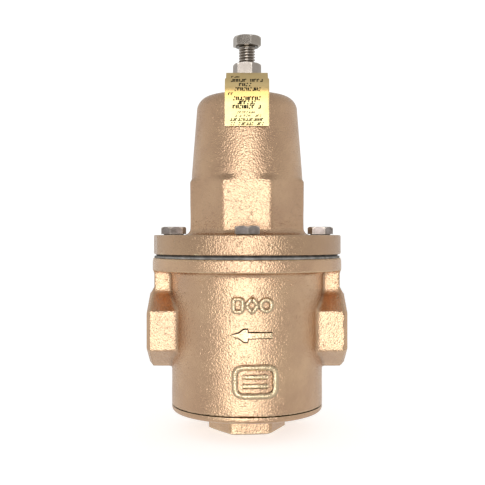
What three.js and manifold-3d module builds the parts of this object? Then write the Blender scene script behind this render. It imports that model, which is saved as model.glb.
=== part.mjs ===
// Direct acting pressure reducing valve, 3/4 in, sand cast bronze with a spring loaded diaphragm.
// Millimetres, +Z up. The origin is the centre of the underside of the bottom hexagon.
// The inlet is on +X and the outlet on -X. The front, which carries the flow arrow, faces -Y.
import * as THREE from 'three';
import { mergeVertices } from 'three/addons/utils/BufferGeometryUtils.js';
import Module from 'manifold-3d';

// Driving dimensions
const INCH = 25.4;
const GAP = 0.3; // between a piece and the neighbour it was cut to clear
const FACE_TO_FACE = 4.375 * INCH;
const PORT_FLATS = 1.5 * INCH;
const PORT_BORE_R = 12.2;
const PORT_MOUTH_R = 13.3;
const PORT_Z = 57.5;
const BARREL_R = 42.8;
const CAVITY_R = 37.5;
const FLANGE_R = 53.4;
const CLAMP_R = 52.9; // edge of the diaphragm and of its slip ring
const CHAMBER_R = 35.5;
const LIFT = 3.5; // travel of the seat disc

// Levels of the outside, from the bottom up
const PLUG_RIM_Z = 11.2;
const PLUG_TOP_Z = 14.65;
const BARREL_Z = PLUG_TOP_Z + GAP;
const FLANGE_Z = 90.5;
const FLANGE_TOP_Z = 97.7;
const DIAPHRAGM_T = 1;
const SLIP_RING_T = 0.6;
const BONNET_Z = FLANGE_TOP_Z + DIAPHRAGM_T + SLIP_RING_T;
const BONNET_RIM_Z = 110.5;
const OCTAGON_TOP_Z = 141.6;
const CONE_Z = 144.5;
const SHOULDER_Z = 181;
const CROWN_Z = 190.4;
const BOSS_TOP_Z = 198.9;
const TAG_T = 0.8;
const NUT_Z = BOSS_TOP_Z + TAG_T;
const NUT_H = 8.7;
const HEAD_Z = 218;
const HEAD_H = 6.1;

// Threads: 3/8-16 screw and nut, 5/16-18 flange bolts, drawn as plain clear cylinders
const SCREW_FLATS = 0.5625 * INCH;
const SCREW_R = 4.6;
const SCREW_HOLE_R = 5.06;
const BOLT_FLATS = 0.5 * INCH;
const BOLT_R = 3.9;
const BOLT_HOLE_R = 4.2;
const BOLT_HEAD_H = 4.7;
const BOLT_LENGTH = 0.75 * INCH;
const BOLT_CIRCLE_R = 42;
const HEAD_TURN = 15; // degrees round from the front to the first corner, as the valve left the bench
const LOCK_NUT_TURN = 19.5;
const PLATE_NUT_TURN = 10;
const PLUG_HEX_TURN = -23.5;

// Levels of the trim, with the valve open
const SEAT_Z = 42;
const CUP_Z = 46;
const FLOOR_Z = 80;
const FLOOR_TOP_Z = 86;
const GUIDE_TOP_Z = 89.5;
const CUP_R = 24;
const CUP_WALL = 4;
const DISC_TOP_Z = SEAT_Z - LIFT;
const DISC_R = 11.5;
const DISC_H = 4;
const DISC_WASHER_T = 1;
const DISC_WASHER_R = 8.2;
const WASHER_Z = 91.8;
const WASHER_T = 1.5;
const WASHER_R = 26;
const PLATE_Z = WASHER_Z + WASHER_T + DIAPHRAGM_T;
const PLATE_T = 3;
const SPRING_Z = PLATE_Z + PLATE_T;
const BUTTON_Z = 174.5;
const BUTTON_T = 4.8;
const DIMPLE_DEPTH = 2; // in the button's top, for the screw's point
const STEM_R = 4.9;
const STEM_END_R = 3;
const STEM_TOP_R = 3.5;
const STEM_FOOT_Z = 22.5;
const STEM_TOP_Z = 104.5;
const STEM_HOLE_R = STEM_END_R + GAP; // through the disc and the pieces that hold it
const PLATE_HOLE_R = STEM_TOP_R + GAP; // through the diaphragm and its plates
const GUIDE_R = 5.3;
const GUIDE_WALL = 3.7;
const HOLDER_Z = 30; // underside of the disc holder
const DISC_NUT_H = 5.5;
const DISC_NUT_FLATS = 11;
const FOOT_Z = 17; // floor inside the bottom plug
const SEAT_FLANGE_R = 15.5;
const SEAT_BODY_R = 12.5;
const SEAT_GASKET_T = 0.6;
const FLEX_INNER_R = 30.5; // the diaphragm's free slope runs from here
const FLEX_OUTER_R = 35; // to here

// Rubber rings: radius of the groove's floor, and its height
const PLUG_GROOVE = { radius: 34.4, bottom: 15.7, top: 18.8 };
const STEM_GROOVE = { radius: 3.6, bottom: 82, top: 84.4 };

// Finishes
const CAST_BRONZE = { color: 0xc9a583, roughness: 0.42, metalness: 0.9 };
const TURNED_BRASS = { color: 0xc8a765, roughness: 0.3, metalness: 1 };
const SHEET_BRASS = { color: 0xf0df9c, roughness: 0.3, metalness: 0.9 };
const PLATED_STEEL = { color: 0xa59e98, roughness: 0.35, metalness: 0.9 };
const STAINLESS = { color: 0xb9bcbe, roughness: 0.35, metalness: 0.95 };
const SPRING_STEEL = { color: 0x4a4f55, roughness: 0.45, metalness: 0.8 };
const RUBBER = { color: 0x1f1d1b, roughness: 0.75, metalness: 0 };
const FIBRE = { color: 0x8f8a80, roughness: 0.8, metalness: 0 };

const wasm = await Module();
wasm.setup();

// Closed geometry to a solid: shared corners are merged, collapsed triangles dropped, faces turned out.
function solid(geometry) {
  const bare = geometry.clone();
  bare.deleteAttribute('normal');
  bare.deleteAttribute('uv');
  const merged = mergeVertices(bare, 1e-4);
  const points = merged.attributes.position.array;
  const corners = merged.index.array;
  const triangles = [];
  let volume = 0;
  const [a, b, c] = [new THREE.Vector3(), new THREE.Vector3(), new THREE.Vector3()];
  for (let i = 0; i < corners.length; i += 3) {
    const [p, q, r] = corners.slice(i, i + 3);
    if (p === q || q === r || r === p) continue;
    a.fromArray(points, 3 * p);
    b.fromArray(points, 3 * q);
    c.fromArray(points, 3 * r);
    volume += a.dot(b.cross(c));
    triangles.push([p, q, r]);
  }
  const outward = volume > 0 ? triangles : triangles.map(([p, q, r]) => [p, r, q]);
  return new wasm.Manifold(new wasm.Mesh({
    numProp: 3,
    vertProperties: new Float32Array(points),
    triVerts: new Uint32Array(outward.flat()),
  }));
}

function join(first, ...others) {
  return others.reduce((sum, other) => sum.add(other), first);
}

function cut(first, ...others) {
  return others.reduce((rest, other) => rest.subtract(other), first);
}

// Solid of revolution about Z from [radius, height] points. Sides counts the flats of a coarse one,
// and turn is the angle in degrees of its first corner from the front, towards +X.
function turned(profile, sides = 40, turn = 0) {
  const onAxis = profile[0][0] === 0 && profile.at(-1)[0] === 0;
  const points = onAxis ? profile : [...profile, profile[0]];
  const outline = points.map(([r, z]) => new THREE.Vector2(r, z));
  const start = THREE.MathUtils.degToRad(turn);
  return new THREE.LatheGeometry(outline, sides, start).rotateX(Math.PI / 2);
}

function cylinder(radius, bottom, top, sides = 40, turn = 0) {
  return turned([[0, bottom], [radius, bottom], [radius, top], [0, top]], sides, turn);
}

// Geometry made along +Z, laid down so that it points along +X or, with side -1, along -X.
function laidDown(geometry, side) {
  return geometry.rotateY(side * Math.PI / 2);
}

function box(low, high) {
  const size = high.map((value, i) => value - low[i]);
  const middle = high.map((value, i) => (value + low[i]) / 2);
  return new THREE.BoxGeometry(...size).translate(...middle);
}

function arc(centre, radius, from, to, steps) {
  return Array.from({ length: steps + 1 }, (_, i) => {
    const angle = THREE.MathUtils.degToRad(from + (to - from) * i / steps);
    return [centre[0] + radius * Math.cos(angle), centre[1] + radius * Math.sin(angle)];
  });
}

function boltPlaces() {
  return [
    ['front', 0, -BOLT_CIRCLE_R],
    ['right', BOLT_CIRCLE_R, 0],
    ['back', 0, BOLT_CIRCLE_R],
    ['left', -BOLT_CIRCLE_R, 0],
  ];
}

function boltHoles(radius, bottom, top) {
  return boltPlaces().map(([, x, y]) => solid(cylinder(radius, bottom, top, 16).translate(x, y, 0)));
}

// Hexagon bar with its corners turned off at the ends named by bottomCut and topCut.
function hexagon(flats, bottom, top, turn, bottomCut, topCut) {
  const corner = flats / 2 / Math.cos(Math.PI / 6);
  const bevel = 0.09 * flats;
  const drop = bevel * Math.tan(Math.PI / 6);
  const profile = [
    [0, bottom],
    ...(bottomCut ? [[corner - bevel, bottom], [corner, bottom + drop]] : [[corner, bottom]]),
    ...(topCut ? [[corner, top - drop], [corner - bevel, top]] : [[corner, top]]),
    [0, top],
  ];
  const bar = solid(cylinder(corner, bottom, top, 6, turn));
  return bar.intersect(solid(turned(profile, 18)));
}

function ring(innerRadius, outerRadius, bottom, top, sides = 40) {
  return solid(turned([
    [innerRadius, bottom], [outerRadius, bottom], [outerRadius, top], [innerRadius, top],
  ], sides));
}

// Rubber ring of round section that sits on the floor of its groove, halfway up.
function oRing(groove, thickness, sides) {
  const centre = [groove.radius + thickness / 2 + 0.1, (groove.bottom + groove.top) / 2];
  return solid(turned(arc(centre, thickness / 2, 0, 300, 5), sides));
}

// Casting: barrel, flange, hexagon ports, ribs, the cup under the chamber floor and its outlet duct.
function body() {
  const fillet = 2.5;
  const half = FACE_TO_FACE / 2;
  const corner = PORT_FLATS / 2 / Math.cos(Math.PI / 6);
  const endBevel = 2;
  const barrel = solid(turned([
    [0, BARREL_Z],
    [BARREL_R - 0.5, BARREL_Z],
    [BARREL_R, BARREL_Z + 0.5],
    ...arc([BARREL_R + fillet, FLANGE_Z - fillet], fillet, 180, 90, 3),
    [FLANGE_R, FLANGE_Z],
    [FLANGE_R, FLANGE_TOP_Z],
    [0, FLANGE_TOP_Z],
  ]));
  const ports = [1, -1].map((side) => solid(laidDown(turned([
    [0, 0],
    [corner, 0],
    [corner, half - endBevel],
    [corner - endBevel, half],
    [0, half],
  ], 6, 30), side).translate(0, 0, PORT_Z)));
  const ribHalf = 2.75;
  const ribR = FLANGE_R - 0.4;
  const ribs = solid(box([-FLANGE_R, -ribHalf, PORT_Z], [FLANGE_R, ribHalf, FLANGE_Z + 1]))
    .intersect(solid(cylinder(ribR, PORT_Z, FLANGE_Z + 1)));
  const outside = join(barrel, ...ports, ribs);

  const cavity = solid(cylinder(CAVITY_R, BARREL_Z - 1, FLOOR_Z));
  const chamber = solid(cylinder(CHAMBER_R, FLOOR_TOP_Z, FLANGE_TOP_Z + 1));
  const cup = solid(cylinder(CUP_R, CUP_Z, FLOOR_Z + 1, 28));
  const ductR = PORT_BORE_R + 3.8;
  const duct = solid(laidDown(cylinder(ductR, CUP_R - 1.5, CAVITY_R + 1.5, 24), -1).translate(0, 0, PORT_Z));
  const guide = solid(cylinder(GUIDE_R + GUIDE_WALL, FLOOR_Z, GUIDE_TOP_Z, 20));
  const socketDepth = 14;
  const sensingHole = { radius: 1.6, y: 14 };
  const inside = [
    cylinder(CUP_R - CUP_WALL, CUP_Z + CUP_WALL, FLOOR_Z, 28),
    cylinder(SEAT_BODY_R + GAP, CUP_Z - 1, CUP_Z + CUP_WALL + 1, 24),
    cylinder(GUIDE_R, FLOOR_Z - 1, GUIDE_TOP_Z + 1, 20),
    cylinder(sensingHole.radius, FLOOR_Z - 1, FLOOR_TOP_Z + 1, 8).translate(0, sensingHole.y, 0),
    laidDown(cylinder(PORT_BORE_R, CUP_R - 9, half, 24), -1).translate(0, 0, PORT_Z),
    laidDown(cylinder(PORT_BORE_R, CAVITY_R - 5, half, 24), 1).translate(0, 0, PORT_Z),
    ...[1, -1].map((side) => laidDown(turned([
      [0, half - socketDepth],
      [PORT_BORE_R, half - socketDepth],
      [PORT_MOUTH_R, half + 0.1],
      [0, half + 0.1],
    ], 24), side).translate(0, 0, PORT_Z)),
  ].map(solid);
  const tappedDepth = FLANGE_TOP_Z - FLANGE_Z - 0.5;
  const shell = join(cut(outside, cavity, chamber), cup, duct, guide);
  return cut(shell, ...inside, ...boltHoles(BOLT_HOLE_R, FLANGE_TOP_Z - tappedDepth, FLANGE_TOP_Z + 1));
}

// Bottom plug: hexagon boss, round flange and a threaded spigot with a groove for its rubber ring.
function bottomPlug() {
  const spigotR = CAVITY_R - GAP;
  const spigotTop = 24.5;
  const wellR = 31.5;
  const fence = { inner: 21.3, outer: 23.3, height: 3 }; // ring that locates the strainer
  const hexFlats = 38.9;
  const round = 2.3;
  const plug = solid(turned([
    [0, PLUG_RIM_Z],
    [BARREL_R - round, PLUG_RIM_Z],
    ...arc([BARREL_R - round, PLUG_RIM_Z + round], round, -60, 0, 2),
    [BARREL_R, PLUG_TOP_Z],
    [spigotR, PLUG_TOP_Z],
    [spigotR, PLUG_GROOVE.bottom],
    [PLUG_GROOVE.radius, PLUG_GROOVE.bottom],
    [PLUG_GROOVE.radius, PLUG_GROOVE.top],
    [spigotR, PLUG_GROOVE.top],
    [spigotR, spigotTop],
    [wellR, spigotTop],
    [wellR, FOOT_Z],
    [fence.outer, FOOT_Z],
    [fence.outer, FOOT_Z + fence.height],
    [fence.inner, FOOT_Z + fence.height],
    [fence.inner, FOOT_Z],
    [0, FOOT_Z],
  ]));
  return join(plug, hexagon(hexFlats, 0, PLUG_RIM_Z + 1, PLUG_HEX_TURN, true, false));
}

function plugRing() {
  return oRing(PLUG_GROOVE, 2.5, 40);
}

// Strainer: a rolled screen that stands in the plug and reaches the underside of the cup.
function strainerScreen() {
  const screenR = 20;
  const screenT = 0.8;
  return ring(screenR, screenR + screenT, FOOT_Z, CUP_Z - GAP, 28);
}

// Seat: a ring screwed up into the cup, with a raised lip underneath that the disc closes on.
function seatRing() {
  const boreR = 9;
  const lipR = 10.4;
  const lipHeight = 0.8;
  const top = CUP_Z + CUP_WALL + 1.5;
  return solid(turned([
    [boreR, SEAT_Z],
    [lipR, SEAT_Z],
    [lipR + 1, SEAT_Z + lipHeight],
    [SEAT_FLANGE_R, SEAT_Z + lipHeight],
    [SEAT_FLANGE_R, CUP_Z - SEAT_GASKET_T],
    [SEAT_BODY_R, CUP_Z - SEAT_GASKET_T],
    [SEAT_BODY_R, top],
    [boreR, top],
  ], 24));
}

function seatGasket() {
  return ring(SEAT_BODY_R + 0.7, SEAT_FLANGE_R - 0.1, CUP_Z - SEAT_GASKET_T, CUP_Z, 24);
}

// Stem: threaded foot for the disc, the guided shank with its ring groove, threaded top.
function stem() {
  return solid(turned([
    [0, STEM_FOOT_Z],
    [STEM_END_R, STEM_FOOT_Z],
    [STEM_END_R, DISC_TOP_Z + DISC_WASHER_T],
    [STEM_R, DISC_TOP_Z + DISC_WASHER_T],
    [STEM_R, STEM_GROOVE.bottom],
    [STEM_GROOVE.radius, STEM_GROOVE.bottom],
    [STEM_GROOVE.radius, STEM_GROOVE.top],
    [STEM_R, STEM_GROOVE.top],
    [STEM_R, WASHER_Z],
    [STEM_TOP_R, WASHER_Z],
    [STEM_TOP_R, STEM_TOP_Z],
    [0, STEM_TOP_Z],
  ], 16));
}

function stemRing() {
  return oRing(STEM_GROOVE, 1.5, 16);
}

// Disc holder: a shallow cup whose wall stands round most of the disc's edge.
function discHolder() {
  const wallR = 13;
  const wallTop = DISC_TOP_Z - 0.7;
  return solid(turned([
    [STEM_HOLE_R, HOLDER_Z],
    [wallR, HOLDER_Z],
    [wallR, wallTop],
    [DISC_R + GAP, wallTop],
    [DISC_R + GAP, DISC_TOP_Z - DISC_H],
    [STEM_HOLE_R, DISC_TOP_Z - DISC_H],
  ], 24));
}

function seatDisc() {
  return ring(STEM_HOLE_R, DISC_R, DISC_TOP_Z - DISC_H, DISC_TOP_Z, 24);
}

function discWasher() {
  return ring(STEM_HOLE_R, DISC_WASHER_R, DISC_TOP_Z, DISC_TOP_Z + DISC_WASHER_T, 20);
}

function discNut() {
  const bottom = HOLDER_Z - DISC_NUT_H;
  const hole = solid(cylinder(STEM_HOLE_R, bottom - 1, HOLDER_Z + 1, 12));
  return cut(hexagon(DISC_NUT_FLATS, bottom, HOLDER_Z, 0, true, true), hole);
}

// Diaphragm: clamped rim, one sloping convolution and the flat centre held between the plates.
function diaphragm() {
  const rim = FLANGE_TOP_Z + DIAPHRAGM_T;
  const sheet = solid(turned([
    [PLATE_HOLE_R, PLATE_Z - DIAPHRAGM_T],
    [FLEX_INNER_R, PLATE_Z - DIAPHRAGM_T],
    [FLEX_OUTER_R, rim - DIAPHRAGM_T],
    [CLAMP_R, rim - DIAPHRAGM_T],
    [CLAMP_R, rim],
    [FLEX_OUTER_R, rim],
    [FLEX_INNER_R, PLATE_Z],
    [PLATE_HOLE_R, PLATE_Z],
  ]));
  return cut(sheet, ...boltHoles(BOLT_HOLE_R, rim - 2, rim + 1));
}

function slipRing() {
  const flat = ring(CHAMBER_R + 0.5, CLAMP_R, BONNET_Z - SLIP_RING_T, BONNET_Z);
  return cut(flat, ...boltHoles(BOLT_HOLE_R, BONNET_Z - 2, BONNET_Z + 1));
}

function lowerWasher() {
  return ring(PLATE_HOLE_R, WASHER_R, WASHER_Z, WASHER_Z + WASHER_T, 28);
}

// Pressure plate with the raised ring that centres the foot of the range spring.
function pressurePlate() {
  const plateR = 29;
  const fence = { inner: 22.2, outer: 24.2, height: 3 };
  return solid(turned([
    [PLATE_HOLE_R, PLATE_Z],
    [plateR, PLATE_Z],
    [plateR, SPRING_Z],
    [fence.outer, SPRING_Z],
    [fence.outer, SPRING_Z + fence.height],
    [fence.inner, SPRING_Z + fence.height],
    [fence.inner, SPRING_Z],
    [PLATE_HOLE_R, SPRING_Z],
  ], 28));
}

function diaphragmNut() {
  const height = 5;
  const nut = hexagon(BOLT_FLATS, SPRING_Z, SPRING_Z + height, PLATE_NUT_TURN, false, true);
  return cut(nut, solid(cylinder(PLATE_HOLE_R, SPRING_Z - 1, SPRING_Z + height + 1, 12)));
}

// Range spring: a helix whose first and last turns are wound close.
class SpringPath extends THREE.Curve {
  constructor(radius, bottom, top, turns, closePitch) {
    super();
    Object.assign(this, { radius, bottom, top, turns, closePitch });
  }

  getPoint(t, target = new THREE.Vector3()) {
    const turn = t * this.turns;
    const openPitch = (this.top - this.bottom - 2 * this.closePitch) / (this.turns - 2);
    const open = THREE.MathUtils.clamp(turn - 1, 0, this.turns - 2);
    const height = this.bottom + this.closePitch * (turn - open) + openPitch * open;
    const angle = 2 * Math.PI * turn;
    return target.set(this.radius * Math.cos(angle), this.radius * Math.sin(angle), height);
  }
}

function rangeSpring() {
  const wireR = 2.25;
  const coilR = 19;
  const turns = 8.5;
  const closePitch = 4.9;
  const clear = wireR + 0.1;
  const path = new SpringPath(coilR, SPRING_Z + clear, BUTTON_Z - clear, turns, closePitch);
  const section = new THREE.Shape().absarc(0, 0, wireR, 0, 2 * Math.PI);
  return solid(new THREE.ExtrudeGeometry(section, { steps: 96, curveSegments: 3, extrudePath: path }));
}

// Spring button: disc with a pilot that centres the spring and a dimple for the screw's point.
function springButton() {
  const pilot = { radius: 15, depth: 4 };
  const rimR = 22.5;
  const dimpleR = 5.5;
  const top = BUTTON_Z + BUTTON_T;
  return solid(turned([
    [0, BUTTON_Z - pilot.depth],
    [pilot.radius, BUTTON_Z - pilot.depth],
    [pilot.radius, BUTTON_Z],
    [rimR, BUTTON_Z],
    [rimR, top - 1],
    [rimR - 1, top],
    [dimpleR, top],
    [dimpleR, top - DIMPLE_DEPTH],
    [0, top - DIMPLE_DEPTH],
  ], 28));
}

// Bonnet: flange, octagon with a flared foot, round cone, shoulder and the boss of the screw.
function bonnet() {
  const flare = 4.3;
  const shoulder = 8.5;
  const coneFootR = 31.6;
  const coneTopR = 28.7;
  const bossR = 10;
  const octagonR = 1.25 * INCH / Math.cos(Math.PI / 8);
  const flange = solid(turned([
    [0, BONNET_Z],
    [FLANGE_R - 1.6, BONNET_Z],
    [FLANGE_R - 1.1, BONNET_Z + 0.5],
    [FLANGE_R, BONNET_Z + 0.5],
    [FLANGE_R, BONNET_RIM_Z - 1],
    [FLANGE_R - 1, BONNET_RIM_Z],
    [0, BONNET_RIM_Z],
  ]));
  const octagon = solid(turned([
    [0, BONNET_RIM_Z - 1],
    [octagonR + flare, BONNET_RIM_Z - 1],
    ...arc([octagonR + flare, BONNET_RIM_Z + flare], flare, 270, 180, 4),
    [octagonR, OCTAGON_TOP_Z - 2],
    [octagonR - 2.6, OCTAGON_TOP_Z + 2],
    [0, OCTAGON_TOP_Z + 2],
  ], 8, 22.5));
  const cone = solid(turned([
    [0, OCTAGON_TOP_Z - 4],
    [coneFootR, OCTAGON_TOP_Z - 4],
    [coneFootR, CONE_Z],
    ...arc([coneTopR - shoulder, SHOULDER_Z], shoulder, 0, 80, 5),
    [bossR + 0.5, CROWN_Z],
    [bossR, CROWN_Z + 0.5],
    [bossR, BOSS_TOP_Z],
    [0, BOSS_TOP_Z],
  ]));
  const wall = 4.1;
  const ceiling = CROWN_Z - 4;
  const mouthR = CHAMBER_R + 0.5;
  const cavity = solid(turned([
    [0, BONNET_Z - 1],
    [mouthR, BONNET_Z - 1],
    [mouthR, BONNET_RIM_Z - 3],
    [coneFootR - 3.8, BONNET_RIM_Z + 1],
    [coneFootR - wall, CONE_Z],
    [coneTopR - wall, SHOULDER_Z],
    [22.9, ceiling - 1.9],
    [20, ceiling],
    [0, ceiling],
  ]));
  const spotFaceR = 8.6;
  const screwHole = solid(cylinder(SCREW_HOLE_R, ceiling - 1, BOSS_TOP_Z + 1, 20));
  const spotFaces = boltHoles(spotFaceR, BONNET_RIM_Z, BONNET_RIM_Z + 9);
  const holes = boltHoles(BOLT_HOLE_R, BONNET_Z - 1, BONNET_RIM_Z + 1);
  return cut(join(flange, octagon, cone), cavity, screwHole, ...spotFaces, ...holes);
}

// Flange bolt on the Z axis: hexagon head over a plain shank.
function flangeBolt(turn) {
  const underHead = BONNET_RIM_Z;
  const shank = solid(cylinder(BOLT_R, underHead - BOLT_LENGTH, underHead + 1, 12));
  const head = hexagon(BOLT_FLATS, underHead, underHead + BOLT_HEAD_H, turn, false, true);
  return join(shank, head);
}

function adjustingScrew() {
  const tip = BUTTON_Z + BUTTON_T - DIMPLE_DEPTH + 0.2;
  const point = 1.2;
  const shank = solid(turned([
    [0, tip],
    [SCREW_R - point, tip],
    [SCREW_R, tip + point],
    [SCREW_R, HEAD_Z + 1],
    [0, HEAD_Z + 1],
  ], 20));
  return join(shank, hexagon(SCREW_FLATS, HEAD_Z, HEAD_Z + HEAD_H, HEAD_TURN, false, true));
}

function lockNut() {
  const nut = hexagon(SCREW_FLATS, NUT_Z, NUT_Z + NUT_H, LOCK_NUT_TURN, true, true);
  return cut(nut, solid(cylinder(SCREW_HOLE_R, NUT_Z - 1, NUT_Z + NUT_H + 1, 20)));
}

// Rating tag: a narrow ear under the lock nut, bent down in a wide curve to the printed leaf.
function ratingTag() {
  const width = 23.9;
  const earWidth = 22.7;
  const earBack = 8.5;
  const holeR = 5.3;
  const bend = 12;
  const leafY = -30.2;
  const bendY = leafY + bend;
  const bendZ = BOSS_TOP_Z - bend;
  const bottom = 169;
  const shoulderZ = 194.6;
  const strip = (stripWidth) => {
    const outline = new THREE.Shape();
    outline.moveTo(earBack, BOSS_TOP_Z);
    outline.lineTo(bendY, BOSS_TOP_Z);
    outline.absarc(bendY, bendZ, bend, Math.PI / 2, Math.PI, false);
    outline.lineTo(leafY, bottom);
    outline.lineTo(leafY - TAG_T, bottom);
    outline.lineTo(leafY - TAG_T, bendZ);
    outline.absarc(bendY, bendZ, bend + TAG_T, Math.PI, Math.PI / 2, true);
    outline.lineTo(earBack, NUT_Z);
    const geometry = new THREE.ExtrudeGeometry(outline, {
      depth: stripWidth,
      bevelEnabled: false,
      curveSegments: 8,
    });
    // The outline lies in (Y, Z), and the depth runs along X.
    const toFrame = new THREE.Matrix4().makeBasis(
      new THREE.Vector3(0, 1, 0),
      new THREE.Vector3(0, 0, 1),
      new THREE.Vector3(1, 0, 0),
    );
    return solid(geometry.applyMatrix4(toFrame).translate(-stripWidth / 2, 0, 0));
  };
  const reach = 2 * width; // beyond the tag on every side
  const lower = strip(width).intersect(solid(box([-reach, -reach, 0], [reach, reach, shoulderZ])));
  const upper = strip(earWidth).intersect(
    solid(box([-reach, -reach, shoulderZ - 2], [reach, reach, NUT_Z + 1])),
  );
  return cut(join(lower, upper), solid(cylinder(holeR, BOSS_TOP_Z - 1, NUT_Z + 1, 20)));
}

const group = new THREE.Group();

function add(name, shape, finish, x = 0, y = 0) {
  const { vertProperties, triVerts } = shape.getMesh();
  const geometry = new THREE.BufferGeometry();
  geometry.setAttribute('position', new THREE.BufferAttribute(vertProperties, 3));
  geometry.setIndex(new THREE.BufferAttribute(triVerts, 1));
  const mesh = new THREE.Mesh(geometry, new THREE.MeshStandardMaterial(finish));
  mesh.name = name;
  mesh.position.set(x, y, 0);
  group.add(mesh);
}

add('body', body(), CAST_BRONZE);
add('bottom_plug', bottomPlug(), CAST_BRONZE);
add('bottom_plug_ring', plugRing(), RUBBER);
add('strainer_screen', strainerScreen(), STAINLESS);
add('seat_ring', seatRing(), TURNED_BRASS);
add('seat_ring_gasket', seatGasket(), FIBRE);
add('stem', stem(), STAINLESS);
add('stem_ring', stemRing(), RUBBER);
add('disc_holder', discHolder(), TURNED_BRASS);
add('seat_disc', seatDisc(), RUBBER);
add('disc_washer', discWasher(), TURNED_BRASS);
add('disc_nut', discNut(), TURNED_BRASS);
add('diaphragm', diaphragm(), RUBBER);
add('slip_ring', slipRing(), FIBRE);
add('lower_diaphragm_washer', lowerWasher(), TURNED_BRASS);
add('pressure_plate', pressurePlate(), PLATED_STEEL);
add('diaphragm_nut', diaphragmNut(), PLATED_STEEL);
add('range_spring', rangeSpring(), SPRING_STEEL);
add('spring_button', springButton(), PLATED_STEEL);
add('bonnet', bonnet(), CAST_BRONZE);
const headTurns = { front: 4, right: 17, back: -15, left: -12 }; // as the wrench left them
for (const [place, x, y] of boltPlaces()) {
  add(`bonnet_bolt_${place}`, flangeBolt(headTurns[place]), PLATED_STEEL, x, y);
}
add('adjusting_screw', adjustingScrew(), PLATED_STEEL);
add('lock_nut', lockNut(), PLATED_STEEL);
add('rating_tag', ratingTag(), SHEET_BRASS);

export default group;
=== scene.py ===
import itertools
import math

import bmesh
import bpy
import numpy as np
from mathutils import Matrix, Vector


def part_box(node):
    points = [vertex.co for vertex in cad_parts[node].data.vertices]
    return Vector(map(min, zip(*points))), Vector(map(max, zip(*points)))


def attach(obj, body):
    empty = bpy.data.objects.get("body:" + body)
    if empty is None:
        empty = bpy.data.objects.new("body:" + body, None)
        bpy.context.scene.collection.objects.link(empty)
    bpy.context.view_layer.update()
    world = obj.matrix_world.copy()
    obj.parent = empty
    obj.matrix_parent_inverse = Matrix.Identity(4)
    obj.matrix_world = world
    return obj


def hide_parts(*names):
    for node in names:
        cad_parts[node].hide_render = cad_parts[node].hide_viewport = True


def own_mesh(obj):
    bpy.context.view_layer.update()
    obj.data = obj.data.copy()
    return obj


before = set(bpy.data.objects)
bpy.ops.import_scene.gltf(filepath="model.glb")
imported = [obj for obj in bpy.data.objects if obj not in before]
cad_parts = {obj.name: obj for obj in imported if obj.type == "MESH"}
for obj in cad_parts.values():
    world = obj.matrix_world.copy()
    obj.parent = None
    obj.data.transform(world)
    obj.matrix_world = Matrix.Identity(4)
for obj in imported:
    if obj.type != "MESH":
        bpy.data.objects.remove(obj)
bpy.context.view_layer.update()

MM = 0.001


# ---------------------------------------------------------------------------
# Camera: straight in front of the valve and level, at the height of the flange joint's underside,
# close enough for a clear perspective. The valve stands a little right of the middle.
def placed(name, data):
    """New object in the scene."""
    item = bpy.data.objects.new(name, data)
    bpy.context.scene.collection.objects.link(item)
    return item


CAMERA_DISTANCE = 476 * MM
CAMERA_HEIGHT = 109.2 * MM
camera_data = bpy.data.cameras.new("camera")
camera_data.lens = 61.6
camera_data.shift_x = -0.0093
camera_data.shift_y = -0.0108
camera = placed("camera", camera_data)
camera.location = (0, -CAMERA_DISTANCE, CAMERA_HEIGHT)
camera.rotation_euler = (math.radians(90), 0, 0)
bpy.context.scene.camera = camera
bpy.context.scene.view_settings.view_transform = "Standard"


# ---------------------------------------------------------------------------
# Studio: a white floor, an even white room a little darker overhead, and one broad softbox in
# front of the valve, which draws the bright upright band down the round castings.
def soft_light(name, place, target, width, height, power):
    data = bpy.data.lights.new(name, "AREA")
    data.shape = "RECTANGLE"
    data.size = width
    data.size_y = height
    data.energy = power
    light = placed(name, data)
    light.location = place
    light.rotation_euler = (Vector(target) - Vector(place)).to_track_quat("-Z", "Y").to_euler()


def spread(tree, value, low, high, to_low=0.0, to_high=1.0):
    node = tree.nodes.new("ShaderNodeMapRange")
    node.inputs["From Min"].default_value = low
    node.inputs["From Max"].default_value = high
    node.inputs["To Min"].default_value = to_low
    node.inputs["To Max"].default_value = to_high
    tree.links.new(value, node.inputs["Value"])
    return node.outputs["Result"]


def maths(tree, operation, *values):
    node = tree.nodes.new("ShaderNodeMath")
    node.operation = operation
    for socket, value in zip(node.inputs, values):
        if isinstance(value, (int, float)):
            socket.default_value = value
        else:
            tree.links.new(value, socket)
    return node.outputs[0]


SOFTBOX_PLACE = (-0.09, -1.15, 0.07)
SOFTBOX_AIM = (-0.09, 0, 0.07)
soft_light("front_softbox", SOFTBOX_PLACE, SOFTBOX_AIM, width=0.95, height=1.06, power=7.9)

world = bpy.data.worlds.new("studio")
world.use_nodes = True
bpy.context.scene.world = world
sky = world.node_tree
room = sky.nodes["Background"]
backdrop = sky.nodes.new("ShaderNodeBackground")
backdrop.inputs["Color"].default_value = (1, 1, 1, 1)
backdrop.inputs["Strength"].default_value = 1.1
room.inputs["Color"].default_value = (1.0, 0.985, 0.965, 1)
direction = sky.nodes.new("ShaderNodeTexCoord")
way = sky.nodes.new("ShaderNodeSeparateXYZ")
sky.links.new(direction.outputs["Generated"], way.inputs[0])
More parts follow.
